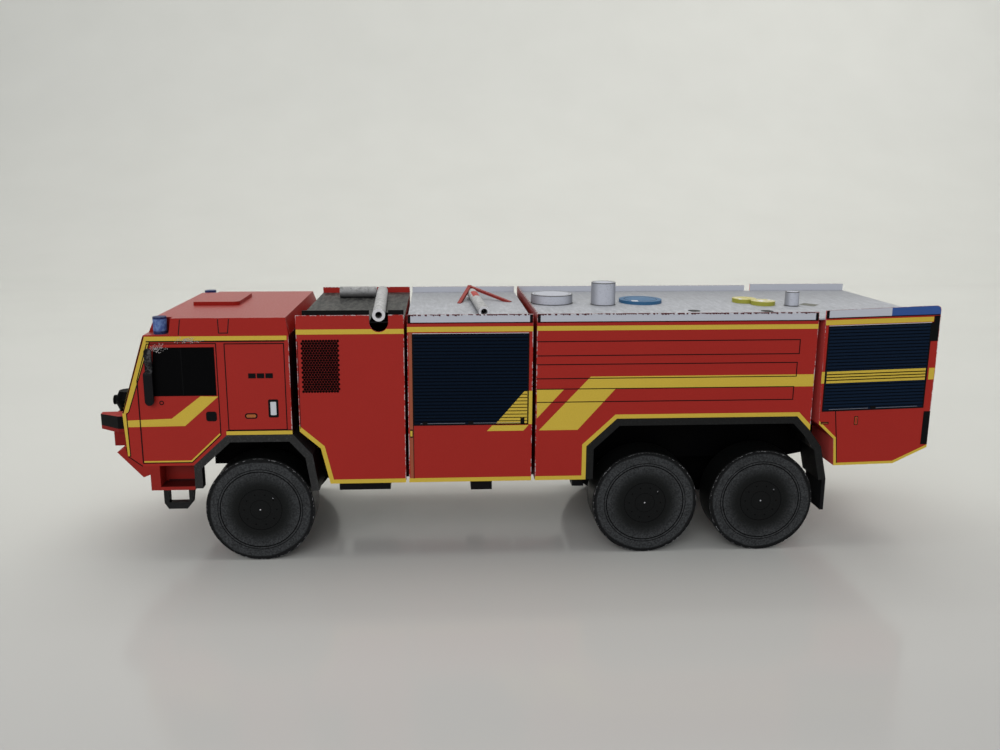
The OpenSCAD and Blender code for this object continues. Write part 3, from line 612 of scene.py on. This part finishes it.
def rear_side_prints(face):
    """The rear box. On the left its wall top climbs towards the back and its print climbs with it."""
    front_x, back_x = rear_high.x, rear_low.x
    wall_climb, climb = (REAR_WALL_CLIMB, REAR_PRINT_CLIMB) if face is LEFT else (0.0, 0.0)
    panel = Panel(face.origin + Vector((0, 0, climb * front_x)), (1, 0, -climb), UP, face.out)
    rear_top_strip(panel, front_x, back_x, wall_top_z + 0.3, wall_climb - climb)
    yellow.fill(panel, rectangle(back_x + 1.5, front_x - 0.1, 53.6, 54.7))
    low_z, high_z = 33.7, 53.2
    shutter_front, shutter_back = front_x - 0.95, back_x + 1.9
    slats(panel, shutter_front, shutter_back, low_z, high_z, rear_navy)
    band_low, band_high = 40.2, 42.9
    yellow.fill(panel, rectangle(shutter_back + 0.3, shutter_front - 0.3, band_low, band_high), 5)
    for number in (1, 2, 3):
        z = band_low + number * (band_high - band_low) / 4
        slat_lines.line(panel, [(shutter_back + 0.3, z), (shutter_front - 0.3, z)], 0.22, 6)
    yellow.fill(panel, rectangle(shutter_front + 0.15, front_x - 0.1, band_low, band_high), 2)
    yellow.fill(panel, rectangle(back_x + 0.1, back_x + 1.4, band_low, band_high), 3)
    black.fill(panel, rectangle(back_x + 0.1, back_x + 1.75, 49.1, 53.5), 2)
    black.fill(panel, rectangle(back_x + 0.1, back_x + 1.4, 53.5, 54.9), 2)
    black.fill(face, rectangle(back_x + 0.05, back_x + 1.6, 25.5, 33.4), 2)
    latch_x = (shutter_front + shutter_back) / 2
    black.fill(panel, rectangle(latch_x - 0.6, latch_x + 0.6, low_z - 0.1, low_z + 0.7), 6)
    shoulder = (front_x - 0.4, 30.6)
    knee = (shoulder[0] - 3.7, shoulder[1] - 3.5)
    foot = (knee[0] - 0.5, rear_low.z)
    lower = [shoulder, knee, foot, (back_x + 7.75, rear_low.z + 0.3), (back_x, rear_low.z + 4.1)]
    yellow.edging(face, lower, 0.6)
    black.line(face, [(front_x - 4.0, low_z), (knee[0] - 0.65, knee[1]), (foot[0] - 0.65, foot[1] + 0.6)],
               THIN, 2)
    handle = (front_x - 9.0, 31.4)
    black.fill(face, rounded(handle, 0.9, 2.1, 0.2), 1)
    amber.fill(face, rounded(handle, 0.58, 1.75, 0.12), 2)
    red.fill(face, rounded(handle, 0.38, 1.5, 0.1), 3)
    black.fill(face, rectangle(front_x - 2.6, front_x - 0.75, 30.6, 31.15), 2)
    amber.line(face, [(front_x - 2.4, 30.87), (front_x - 0.95, 30.87)], 0.14, 3)


def step_box_shadow(panel):
    """Painted shadow: a dark band low on the back wall of a step box, where the box's floor shades it."""
    low, high = box_mm("step_boxes")
    step_depth = 4.5
    back_wall = Panel(panel.origin - panel.out * (step_depth - card_t), panel.right, panel.up, panel.out)
    shadow.fill(back_wall, rectangle(low.x + 0.4, high.x - 2.6, low.z + 0.3, low.z + 1.1))


for side in SIDES:
    cab_side_prints(side)
    step_box_shadow(side)
    engine_side_prints(side)
    pump_side_prints(side)
    tank_side_prints(side)
    rear_side_prints(side)

# The front, the leaning fascias, the back and the deck
screen_lean = nose_x - roof_high.x
screen_rise = fold_z - nose_z
screen_len = math.hypot(screen_lean, screen_rise)
front_rise = nose_z - chin_z
fascia_in = 2.2
fascia_up = roof_high.z - fold_z
WINDSCREEN = Panel((nose_x, 0, nose_z), ACROSS, (-screen_lean, 0, screen_rise), (screen_rise, 0, screen_lean))
FRONT = Panel((nose_x - chin_back, 0, chin_z), ACROSS,
              (chin_back, 0, front_rise), (front_rise, 0, -chin_back))
BACK = Panel((rear_low.x, 0, 0), ACROSS, UP, (-1, 0, 0))
FASCIAS = []
for side in (1, -1):
    lean = (0, -side * fascia_in, fascia_up)
    FASCIAS.append(Panel((0, side * half_w, fold_z), ALONG, lean, (0, side * fascia_up, fascia_in)))
DECK = level_panel(deck_z)


def front_prints():
    yellow.fill(WINDSCREEN, rectangle(-half_w, half_w, screen_len - 1.0, screen_len))
    for side in (1, -1):
        yellow.fill(WINDSCREEN, rectangle(side * half_w, side * (half_w - 1.0), 0.0, screen_len - 1.0))
        yellow.fill(FRONT, rectangle(side * half_w, side * 17.5, 6.7, 8.2))
        lamps_y, lamps_up = side * 20.2, 3.4
        black.fill(FRONT, rounded((lamps_y, lamps_up), 5.4, 4.6, 0.8), 2)
        for shift in (-1.15, 1.15):
            lens = (lamps_y + shift, lamps_up)
            white.fill(FRONT, circle(*lens, 0.95, 20), 3)
            black.hoop(FRONT, lens, 0.72, 0.14, 4, 20)
        amber.fill(FRONT, rounded((side * 22.4, 7.4), 1.2, 0.8, 0.2), 3)
    window.fill(WINDSCREEN, rounded((0, 9.2), 2 * half_w - 4.4, 13.6, 1.3), 2)
    grey.line(WINDSCREEN, [(0, 2.6), (0, 15.8)], 0.12, 3)
    for foot, tip in ((-14.0, -3.0), (2.0, 13.0)):
        black.line(WINDSCREEN, [(foot, 1.7), (tip, 6.4)], 0.3, 4)
    black.line(WINDSCREEN, rectangle(-21.9, 21.9, 1.2, screen_len - 1.4), THIN, 1, closed=True)
    vent_low, vent_high = 8.0, 9.4
    for row in range(4):
        z = vent_low + row * (vent_high - vent_low) / 3
        black.line(FRONT, [(-10.5, z), (10.5, z)], 0.22, 2)


def fascia_prints(panel):
    def at(back, up):
        return nose_x - back, up

    black.line(panel, [at(13.1, 0.3), at(13.0, 3.9)], THIN)
    black.line(panel, [at(23.45, 3.9), at(23.5, 0.7), at(21.6, 0.7), at(21.1, 3.9)], THIN)


def back_prints():
    band_low, band_high = 40.5, 43.2
    for side in (1, -1):
        edge = side * (half_w - 0.1)
        black.fill(BACK, rectangle(edge, side * (half_w - 1.6), 50.0, 54.9), 2)
        black.fill(BACK, rectangle(edge, side * (half_w - 6.4), 25.3, 33.4), 2)
        yellow.fill(BACK, rectangle(edge, side * 17.3, band_low, band_high))
        blue.fill(BACK, rectangle(side * (half_w - 0.2), side * 9.0, deck_z - 1.7, deck_z - 0.5))
        for lens, lens_z in ((red, 31.2), (amber, 28.4)):
            middle = (side * (half_w - 3.2), lens_z)
            lens.fill(BACK, circle(*middle, 1.2, 20), 3)
            white.hoop(BACK, middle, 1.45, 0.25, 3, 20)
    shutter = 16.5
    slats(BACK, shutter, -shutter, 33.9, 51.2, rear_navy)
    yellow.fill(BACK, rectangle(0.3 - shutter, shutter - 0.3, band_low, band_high), 3)
    black.line(BACK, rectangle(-shutter, shutter, 26.2, 32.6), THIN, 2, closed=True)
    black.line(BACK, rounded((0, 29.6), 0.75, 2.0, 0.2), THIN, 2, closed=True)
    yellow.fill(BACK, rectangle(-half_w + 0.1, half_w - 0.1, 24.95, 25.3))


front_prints()
back_prints()
for fascia in FASCIAS:
    fascia_prints(fascia)


# Roof prints and small paper marks
def smear(panel, x, z, length, height, seed):
    """A scrape of dried glue: a haze of tiny pale flecks, thickest in its middle."""
    chance = random.Random(seed)
    for number in range(110):
        spot_x = x + chance.gauss(0, 0.28) * length
        spot_z = z + chance.gauss(0, 0.28) * height
        glue.fill(panel, circle(spot_x, spot_z, chance.uniform(0.03, 0.10), 6), 6)


def round_top(name):
    """Middle, radius and upper face of a round piece that stands on the roof."""
    low, high = box_mm(name)
    middle = ((low.x + high.x) / 2, (low.y + high.y) / 2)
    return middle, (high.x - low.x) / 2, level_panel(high.z)


# Each can with the size of the inner line on its top, as a share of its radius
CANS = {"filler_can": 0.86, "vent_can": 0.84, "small_vent": 0.8}


def roof_prints():
    diamond_x = rear_high.x - 5.2
    olive.fill(DECK, [(diamond_x - 2.6, 3.0), (diamond_x, 0.2), (diamond_x + 2.6, 3.0), (diamond_x, 5.8)])
    for x, y in ((tank_high.x - 38.6, 11.3), (tank_high.x - 55.7, 12.4)):
        black.fill(DECK, [(x + 1.45 * u, y + 1.5 * v) for u, v in circle(0, 0, 1.0, 20)])
    for name, share in CANS.items():
        middle, radius, top = round_top(name)
        olive.hoop(top, middle, radius - 0.05, 0.17)
        olive.hoop(DECK, middle, radius + 0.22, 0.27)
        if radius > 2:
            olive.hoop(top, middle, radius * share, 0.12)
    (x, y), radius, top = round_top("round_hatch")
    black.hoop(top, (x, y), radius - 1.2, 0.13)
    white.fill(top, rectangle(x + 1.4, x + 3.0, y + 2.7, y + 4.3), 2)


roof_prints()
smear(LEFT, nose_x - 15.0, fold_z - 0.9, 4.2, 0.9, 1)
smear(LEFT, nose_x - 8.4, fold_z - 2.6, 2.8, 1.5, 2)


def monitor_patch():
    """A red square wrapped over the top of the monitor's barrel."""
    low, high = box_mm("roof_monitor")
    radius = (high.z - low.z) / 2
    far = Vector((high.x - radius, low.y, low.z + radius))
    near = Vector((low.x + radius, high.y, low.z + radius))
    axis = (near - far).normalized()
    aside = axis.cross(Vector(UP))
    patch = Ink("monitor_patch", red_ink, "red_card")
    rows = []
    steps = 8
    for place in (6.8, 14.5):
        middle = far + axis * place
        for lift in (INK_STEP, -INK_SEAT):
            row = []
            for step in range(steps + 1):
                turn = math.radians(-40 + 80 * step / steps)
                out = aside * math.sin(turn) + Vector(UP) * math.cos(turn)
                row.append(patch.shapes.verts.new((middle + out * (radius + lift)) * MM))
            rows.append(row)
    ring = (rows[0], rows[2], rows[3], rows[1])
    for a, b in zip(ring, ring[1:] + ring[:1]):
        for step in range(steps):
            patch.shapes.faces.new((a[step], a[step + 1], b[step + 1], b[step]))
    for step in (0, steps):
        patch.shapes.faces.new([row[step] for row in ring])
    patch.finish()


monitor_patch()


# Wheel prints turn with their wheels
def wheel_prints(axle):
    x, z, radius = wheels[axle]
    dark = Ink(axle + "_wheel_lines", line_ink, "tyre_card", axle + "_wheelset")
    pale = Ink(axle + "_wheel_hub_dots", white_ink, "tyre_card", axle + "_wheelset")
    worn_rim = Ink(axle + "_wheel_rim_wear", rub_ink, "tyre_card", axle + "_wheelset")
    for side in (1, -1):
        face = Panel((x, side * wheel_face_y, z), ALONG, UP, (0, side, 0))
        for share, width in ((0.785, 0.14), (0.745, 0.22), (0.40, 0.1), (0.19, 0.07)):
            dark.hoop(face, (0, 0), radius * share, width, count=64)
        for bolt in circle(0, 0, radius * 0.3, 10):
            dark.fill(face, circle(*bolt, 0.16, 10))
        pale.fill(face, [(0.2, 0.0), (0.05, 0.16), (-0.16, 0.1), (-0.08, -0.04), (0.04, -0.2)], 2)
        pale.fill(face, circle(radius * -0.24, radius * 0.22, 0.08, 8))
        chance = random.Random(len(axle))
        for number in range(40):
            start = chance.uniform(0, math.tau)
            sweep_angle = chance.uniform(0.01, 0.045)
            outer = radius - 0.15 - chance.uniform(0.0, 0.06)
            arc = [start + sweep_angle * step / 3 for step in range(4)]
            rim = [(outer * math.cos(a), outer * math.sin(a)) for a in arc]
            inner = outer - chance.uniform(0.03, 0.1)
            rim += [(inner * math.cos(a), inner * math.sin(a)) for a in reversed(arc)]
            worn_rim.fill(face, rim)
    for ink in (dark, pale, worn_rim):
        ink.finish()


for axle in wheels:
    wheel_prints(axle)
for ink in (yellow, black, slat_lines, window, navy, rear_navy, grey, blue, white, rail, ragged, shadow, notch_shade,
            fold, amber, red, olive, glue):
    ink.finish()


# Card materials on the folded pieces
def wheel_card(name, axle):
    """Printed tyre face: pale rim, dark middle, broken white cut edge."""
    x, z, radius = wheels[axle]
    shader = Shader(name)
    from_x = shader.math("SUBTRACT", shader.place_along("X"), x * MM)
    from_z = shader.math("SUBTRACT", shader.place_along("Z"), z * MM)
    squared = shader.math("ADD", shader.math("POWER", from_x, 2.0), shader.math("POWER", from_z, 2.0))
    share = shader.math("DIVIDE", shader.math("SQRT", squared), radius * MM)
    base = card_base(shader, CHARCOAL, grain=0.8, sheen=0.06)
    cloud = shader.noise(3.0, detail=3.0)
    speck = shader.noise(0.4, detail=3.0, roughness=0.7)
    rim = shader.times(shader.ramp(share, 0.45, 0.74), shader.math("ADD", cloud, 0.45))
    rim_ink = shader.mix(shader.ramp(speck, 0.3, 0.7), (0.022, 0.023, 0.024), (0.058, 0.0605, 0.063))
    ink = shader.mix(rim, base, rim_ink)
    hub = shader.ramp(share, 0.5, 0.36)
    ink = shader.mix(hub, ink, (0.006, 0.0062, 0.0064), 0.4)
    border = shader.ramp(shader.math("ADD", share, shader.times(shader.noise(6.0), 0.08)), 0.955, 0.985)
    ink = shader.mix(border, ink, (0.005, 0.0052, 0.0054), 0.9)
    flecks = shader.noise(0.5, detail=4.0, roughness=0.8)
    edge = shader.times(shader.ramp(share, 0.965, 0.988), flecks)
    ink = shader.mix(shader.ramp(edge, 0.5, 0.66), ink, PAPER, 0.5)
    return shader.colour(ink)


def rolled_paper(name, colour, along="Y"):
    """Paper rolled into a tube: soft smudges, pale rubs, a shaded underside and bare cut ends."""
    shader = Shader(name)
    base = card_base(shader, colour, grain=0.1, gloss=0.6)
    smudge = shader.noise(1.1, detail=4.0, roughness=0.75)
    ink = shader.mix(shader.ramp(smudge, 0.46, 0.68), base, shade(colour, 0.38), 0.65)
    ink = shader.mix(shader.ramp(smudge, 0.42, 0.30), ink, shade(colour, 1.35))
    under = shader.ramp(shader.facing("Z"), 0.3, -0.5)
    ink = shader.mix(under, ink, shade(colour, 0.25), 0.75)
    end = shader.looks_along(along, 0.85)
    return shader.colour(shader.mix(end, ink, PAPER))


def can_card(node):
    """A paper can: speckled wall with painted shade round its flanks, dark line round its top and its foot.
    """
    low, high = box_mm(node)
    shader = Shader(node + "_card")
    base = card_base(shader, GREY, grain=0.12, gloss=0.6)
    speckle = shader.noise(0.5, detail=4.0, roughness=0.8)
    ink = shader.mix(shader.ramp(speckle, 0.52, 0.66), base, shade(GREY, 0.5), 0.4)
    # Painted shade: the wall darkens where it turns away along the truck.
    painted_flank_shade = shader.ramp(shader.math("ABSOLUTE", shader.facing("X")), 0.45, 1.0)
    ink = shader.mix(painted_flank_shade, ink, shade(GREY, 0.35), 0.7)
    wall = shader.upright()
    ink = shader.mix(wall, shade(GREY, 0.82), ink)
    place_z = shader.place_along("Z")
    rim = shader.ramp(place_z, (high.z - 0.22) * MM, (high.z - 0.12) * MM)
    foot = shader.ramp(place_z, (low.z + 0.28) * MM, (low.z + 0.12) * MM)
    lines = shader.times(wall, shader.math("MAXIMUM", rim, foot))
    return shader.colour(shader.mix(lines, ink, (0.05, 0.05, 0.055), 0.85))


def sheet_grain(shader):
    """Grain of a roof sheet, drawn out across the truck."""
    return shader.noise(0.9, detail=4.0, roughness=0.75, stretch=(1.0, 0.25, 1.0))


def roof_sheet_card():
    """Pale roof sheet with a paper grain and a painted shade towards its far side."""
    shader = Shader("roof_card")
    base = card_base(shader, ROOF_GREY, grain=0.22, gloss=0.5)
    grain = sheet_grain(shader)
    for start, end, tone in ((0.50, 0.65, 1.3), (0.50, 0.35, 0.7)):
        base = shader.mix(shader.ramp(grain, start, end), base, shade(ROOF_GREY, tone), 0.5)
    # Painted shade: darker towards the far side.
    painted_far_shade = shader.ramp(shader.place_along("Y"), 0.006, -0.022)
    return shader.colour(shader.mix(painted_far_shade, base, shade(ROOF_GREY, 0.55), 0.6))


def lid_sheet_card():
    """Rubbed black sheet whose turned-up edge is deep black."""
    shader = Shader("lid_card")
    base = card_base(shader, shade(BLACK, 1.1), grain=0.5, gloss=0.40, sheen=0.12)
    rub = shader.ramp(sheet_grain(shader), 0.40, 0.62)
    ink = shader.mix(rub, base, (0.062, 0.062, 0.057))
    margin = shader.ramp(shader.place_along("Y"), (half_w - 2.6) * MM, (half_w - 1.4) * MM)
    return shader.colour(shader.mix(margin, ink, DEEP_BLACK))


def fender_strip_card(name, colour):
    """Black strip: grainy, rubbed outer and upper faces, and painted shade in deep black on its other faces.
    """
    shader = Shader(name)
    base = card_base(shader, colour, grain=0.7)
    rub = shader.ramp(shader.noise(0.6, detail=4.0, roughness=0.8), 0.5, 0.7)
    ink = shader.mix(rub, base, shade(colour, 4.0), 0.45)
    sideways = shader.looks_along("Y", 0.6)
    outer = shader.math("MAXIMUM", sideways, shader.ramp(shader.facing("Z"), 0.2, 0.6))
    # Painted shade: faces that look neither sideways nor upward are deep black.
    return shader.colour(shader.mix(outer, DEEP_BLACK, ink))


def shell_card(name, low, high, inside, back=None, front=None, foot_wear=True):
    """Red card of a body box, worn along its upright folds, its top and, if asked, its foot."""
    edges_z = (low.z, high.z) if foot_wear else (high.z,)
    return worn_card(name, RED, edges_x=(low.x, high.x), edges_z=edges_z, edges_y=(half_w, -half_w),
                     inside=inside, back=back, front=front, wear=0.42)


def bumper_card():
    """Red card whose upright faces are printed black between two thin red margins, and are otherwise a darker
    red, painted shade under the overhang.
    """
    face_high = box_mm("front_bumper")[1].z
    face_low = face_high - 3.4
    shader = Shader("bumper_card")
    base = card_base(shader, DARK_RED, sheen=0.1)
    place_z = shader.place_along("Z")
    upright = shader.upright()
    above = shader.math("GREATER_THAN", place_z, (face_low + 0.2) * MM)
    below = shader.math("LESS_THAN", place_z, (face_high - 0.3) * MM)
    printed = shader.times(shader.times(upright, above), below)
    # Painted shade: upright faces take the darker red, level faces the lighter.
    ink = shader.mix(upright, shade(RED, 0.8), base)
    return shader.colour(shader.mix(printed, ink, DEEP_BLACK))


def beacon_card():
    """Blue lens printed with a dark cap and a dark foot."""
    low, high = box_mm("beacons")
    shader = Shader("beacon_card")
    blotch = shader.ramp(shader.noise(0.8, detail=3.0), 0.38, 0.62)
    lens = card_base(shader, (0.06, 0.10, 0.30), grain=0.2)
    base = shader.mix(blotch, lens, (0.13, 0.21, 0.43))
    place_z = shader.place_along("Z")
    cap = shader.ramp(place_z, (high.z - 0.55) * MM, (high.z - 0.35) * MM)
    foot = shader.ramp(place_z, (low.z + 0.8) * MM, (low.z + 0.55) * MM)
    bands = shader.math("MAXIMUM", cap, foot)
    speckle = shader.ramp(shader.noise(0.35, detail=3.0), 0.35, 0.6)
    dark = shader.mix(speckle, (0.006, 0.012, 0.06), (0.02, 0.035, 0.13))
    return shader.colour(shader.mix(bands, base, dark))


def torn_disc():
    """A yellow hatch print that is rough and worn through to the paper in places."""
    shader = Shader("twin_hatch_card")
    base = card_base(shader, (0.54, 0.48, 0.18), grain=0.3)
    wear = shader.noise(2.2, detail=4.0, roughness=0.7)
    ink = shader.mix(shader.ramp(wear, 0.56, 0.62), base, PAPER)
    ink = shader.mix(shader.ramp(wear, 0.46, 0.38), ink, (0.34, 0.33, 0.04))
    wall = shader.upright()
    return shader.colour(shader.mix(wall, ink, (0.34, 0.33, 0.05)))


def mirror_card():
    """Black card whose upper lobe is scuffed grey."""
    top_z = box_mm("mirrors")[1].z
    shader = Shader("mirror_card")
    base = card_base(shader, BLACK, sheen=0.1)
    scuff = shader.ramp(shader.noise(0.9, detail=4.0, roughness=0.75), 0.45, 0.65)
    upper = shader.ramp(shader.place_along("Z"), (top_z - 6.0) * MM, (top_z - 4.5) * MM)
    return shader.colour(shader.mix(shader.times(scuff, upper), base, (0.085, 0.085, 0.088)))


black_card = worn_card("black_card", BLACK, wear=0.2, sheen=0.1)
deep_card = worn_card("deep_black_card", DEEP_BLACK, sheen=0.03)
# The rear fenders and step loops are a darker black than the front fenders: painted shade.
rear_fender_card = fender_strip_card("rear_fender_card", (0.0055, 0.0057, 0.0057))
roof_card = roof_sheet_card()
# The level tops of the cab roof and hatch take a paler, pinker red than the leaning faces: a painted
# highlight beside their real sheen.
roof_look = {"level": (0.30, 0.034, 0.028), "level_sheen": 0.62, "gloss": 0.36, "sheen": 0.08}
roof_fold_y = half_w - fascia_in
tube_card = rolled_paper("tube_card", (0.44, 0.44, 0.435))
paint = {
    # The cab's back is near black: painted shade in the gap behind it.
    "cab_shell": shell_card("cab_card", cab_low, cab_high, None, back=shade(DARK_RED, 0.1), foot_wear=False),
    "cab_roof": worn_card("cab_roof_card", shade(RED, 0.78), edges_x=(cab_back_x,),
                          edges_y=(roof_fold_y, -roof_fold_y), **roof_look),
    "cab_hatch": worn_card("hatch_card", shade(RED, 0.78), **roof_look),
    "engine_shell": shell_card("engine_card", engine_low, engine_high, RED),
    # The pump box's back is near black: painted shade in the gap behind it.
    "pump_shell": shell_card("pump_card", pump_low, pump_high, GREY, back=shade(DARK_RED, 0.1)),
    # The tank box's forward face is a darker red: painted shade.
    "tank_shell": shell_card("tank_card", tank_low, tank_high, GREY, front=shade(RED, 0.65)),
    # The rear box's forward face is a paler, pinker red: painted light against the shade of the gap before
    # it.
    "rear_shell": shell_card("rear_card", rear_low, rear_high, GREY, front=(0.68, 0.085, 0.075)),
    "beacons": beacon_card(),
    "round_hatch": print_ink("round_hatch_card", HATCH_BLUE),
    "twin_hatches": torn_disc(),
    "engine_lid": lid_sheet_card(),
    "front_bumper": bumper_card(),
    "lower_valance": worn_card("valance_card", shade(RED, 0.8)),
    # A darker red, and near black on their level faces: painted shade in the step recesses.
    "step_boxes": worn_card("step_card", shade(RED, 0.75), level=shade(RED, 0.15)),
    "monitor_handle": print_ink("handle_card", (0.26, 0.03, 0.024)),
    "pump_roof": roof_card,
    "deck_roof": roof_card,
    "exhaust_long_tube": rolled_paper("exhaust_card", (0.32, 0.32, 0.315), along="X"),
    "exhaust_cross_tube": tube_card,
    "roof_monitor": tube_card,
    # A lighter black than the rear fenders: painted light.
    "front_fenders": fender_strip_card("front_fender_card", (0.020, 0.020, 0.0198)),
    "rear_fenders": rear_fender_card,
    "step_loops": rear_fender_card,
    "mirrors": mirror_card(),
}
# Under the body, the wells, bearers, beam and spacers take a black deeper than the black card: painted shade.
for name in ("front_wheel_well", "rear_wheel_well", "front_axle_bearer", "rear_axle_bearer", "chassis_beam",
             "box_spacers", "bumper_turret"):
    paint[name] = deep_card
for name in CANS:
    paint[name] = can_card(name)
for axle in wheels:
    paint[axle + "_tyres"] = worn_card(axle + "_tread_card", shade(CHARCOAL, 0.35),
                                       edges_y=(wheel_face_y, -wheel_face_y), wear=0.5)
    paint[axle + "_wheel_discs"] = wheel_card(axle + "_disc_card", axle)
    paint[axle + "_axle"] = rolled_paper(axle + "_axle_card", (0.30, 0.25, 0.18))
for name, node in nodes.items():
    node.data.materials.clear()
    node.data.materials.append(paint.get(name, black_card))


# Stage, light and camera
def sweep():
    """A pale glossy floor that curves up into a backdrop, darker towards the camera as a painted reflection
    of the dim room.
    """
    shader = Shader("floor_sweep")
    shader.set(Roughness=0.14, Specular_IOR_Level=0.4)
    cloud = shader.noise(60.0, detail=2.0)
    pale = shader.mix(cloud, (0.58, 0.58, 0.543), (0.62, 0.62, 0.582))
    # Painted reflection: the floor darkens towards the camera.
    painted_near_shade = shader.ramp(shader.place_along("Y"), -0.05, 0.12)
    material = shader.colour(shader.mix(painted_near_shade, pale, (0.45, 0.445, 0.43)))
    near, bend, far, height, half = 0.9, -0.45, -1.05, 1.2, 1.6
    radius = bend - far
    profile = [(near, 0.0)]
    for step in range(25):
        turn = math.pi / 2 * step / 24
        profile.append((bend - radius * math.sin(turn), radius * (1 - math.cos(turn))))
    profile.append((far, radius + height))
    mesh = bpy.data.meshes.new("floor")
    points = [(x, y, z) for y, z in profile for x in (-half, half)]
    faces = [(2 * i, 2 * i + 1, 2 * i + 3, 2 * i + 2) for i in range(len(profile) - 1)]
    mesh.from_pydata(points, [], faces)
    mesh.materials.append(material)
    mesh.shade_smooth()
    add_object("floor", mesh)


def lamp(name, place, aim, size, power, colour):
    light = bpy.data.lights.new(name, "AREA")
    light.shape = "RECTANGLE"
    light.size, light.size_y = size
    light.energy = power
    light.color = colour
    holder = add_object(name, light)
    holder.location = place
    holder.rotation_euler = (Vector(aim) - Vector(place)).to_track_quat("-Z", "Y").to_euler()


def photo_camera():
    """The photograph's camera, solved from the model's own edges."""
    pitch, roll, turn = 0.1977, 0.0022, 0.0537
    place = Vector((0.0170941, 0.2043506, 0.0862576))
    yaw = Matrix.Rotation(turn, 3, "Z")
    axes = Matrix(((-1, 0, 0), (0, 0, -1), (0, -1, 0)))
    to_camera = Matrix.Rotation(roll, 3, "Z") @ Matrix.Rotation(pitch, 3, "X") @ axes @ yaw
    right, down, forward = to_camera
    camera = bpy.data.cameras.new("camera")
    camera.sensor_width = 36.0
    camera.lens = 30.324
    camera.shift_x = 0.0190
    camera.shift_y = -0.0309
    camera.clip_start = 0.01
    holder = add_object("camera", camera)
    basis = Matrix((right, -down, -forward)).transposed()
    holder.matrix_world = Matrix.Translation(place) @ basis.to_4x4()
    bpy.context.scene.camera = holder


sweep()
lamp("top_light", (0.0, -0.15, 0.75), (0.0, 0.0, 0.03), (0.9, 0.7), 3.6, (1.0, 0.98, 0.95))
lamp("front_light", (0.30, 0.9, 0.55), (0.0, 0.0, 0.03), (0.8, 0.6), 4.4, (0.97, 0.98, 1.0))
lamp("backdrop_light", (0.0, -0.45, 1.0), (0.0, -1.05, 0.55), (1.6, 0.4), 4.7, (1.0, 0.99, 0.96))
lamp("window_light", (-0.66, -0.55, 0.62), (-0.66, -1.05, 0.22), (0.5, 0.3), 1.1, (1.0, 0.99, 0.96))
photo_camera()
world = bpy.data.worlds.new("studio")
world.use_nodes = True
sky = world.node_tree.nodes["Background"].inputs
sky["Color"].default_value = (0.93, 0.96, 1.0, 1.0)
sky["Strength"].default_value = 0.45
bpy.context.scene.world = world
bpy.context.scene.view_settings.view_transform = "Standard"
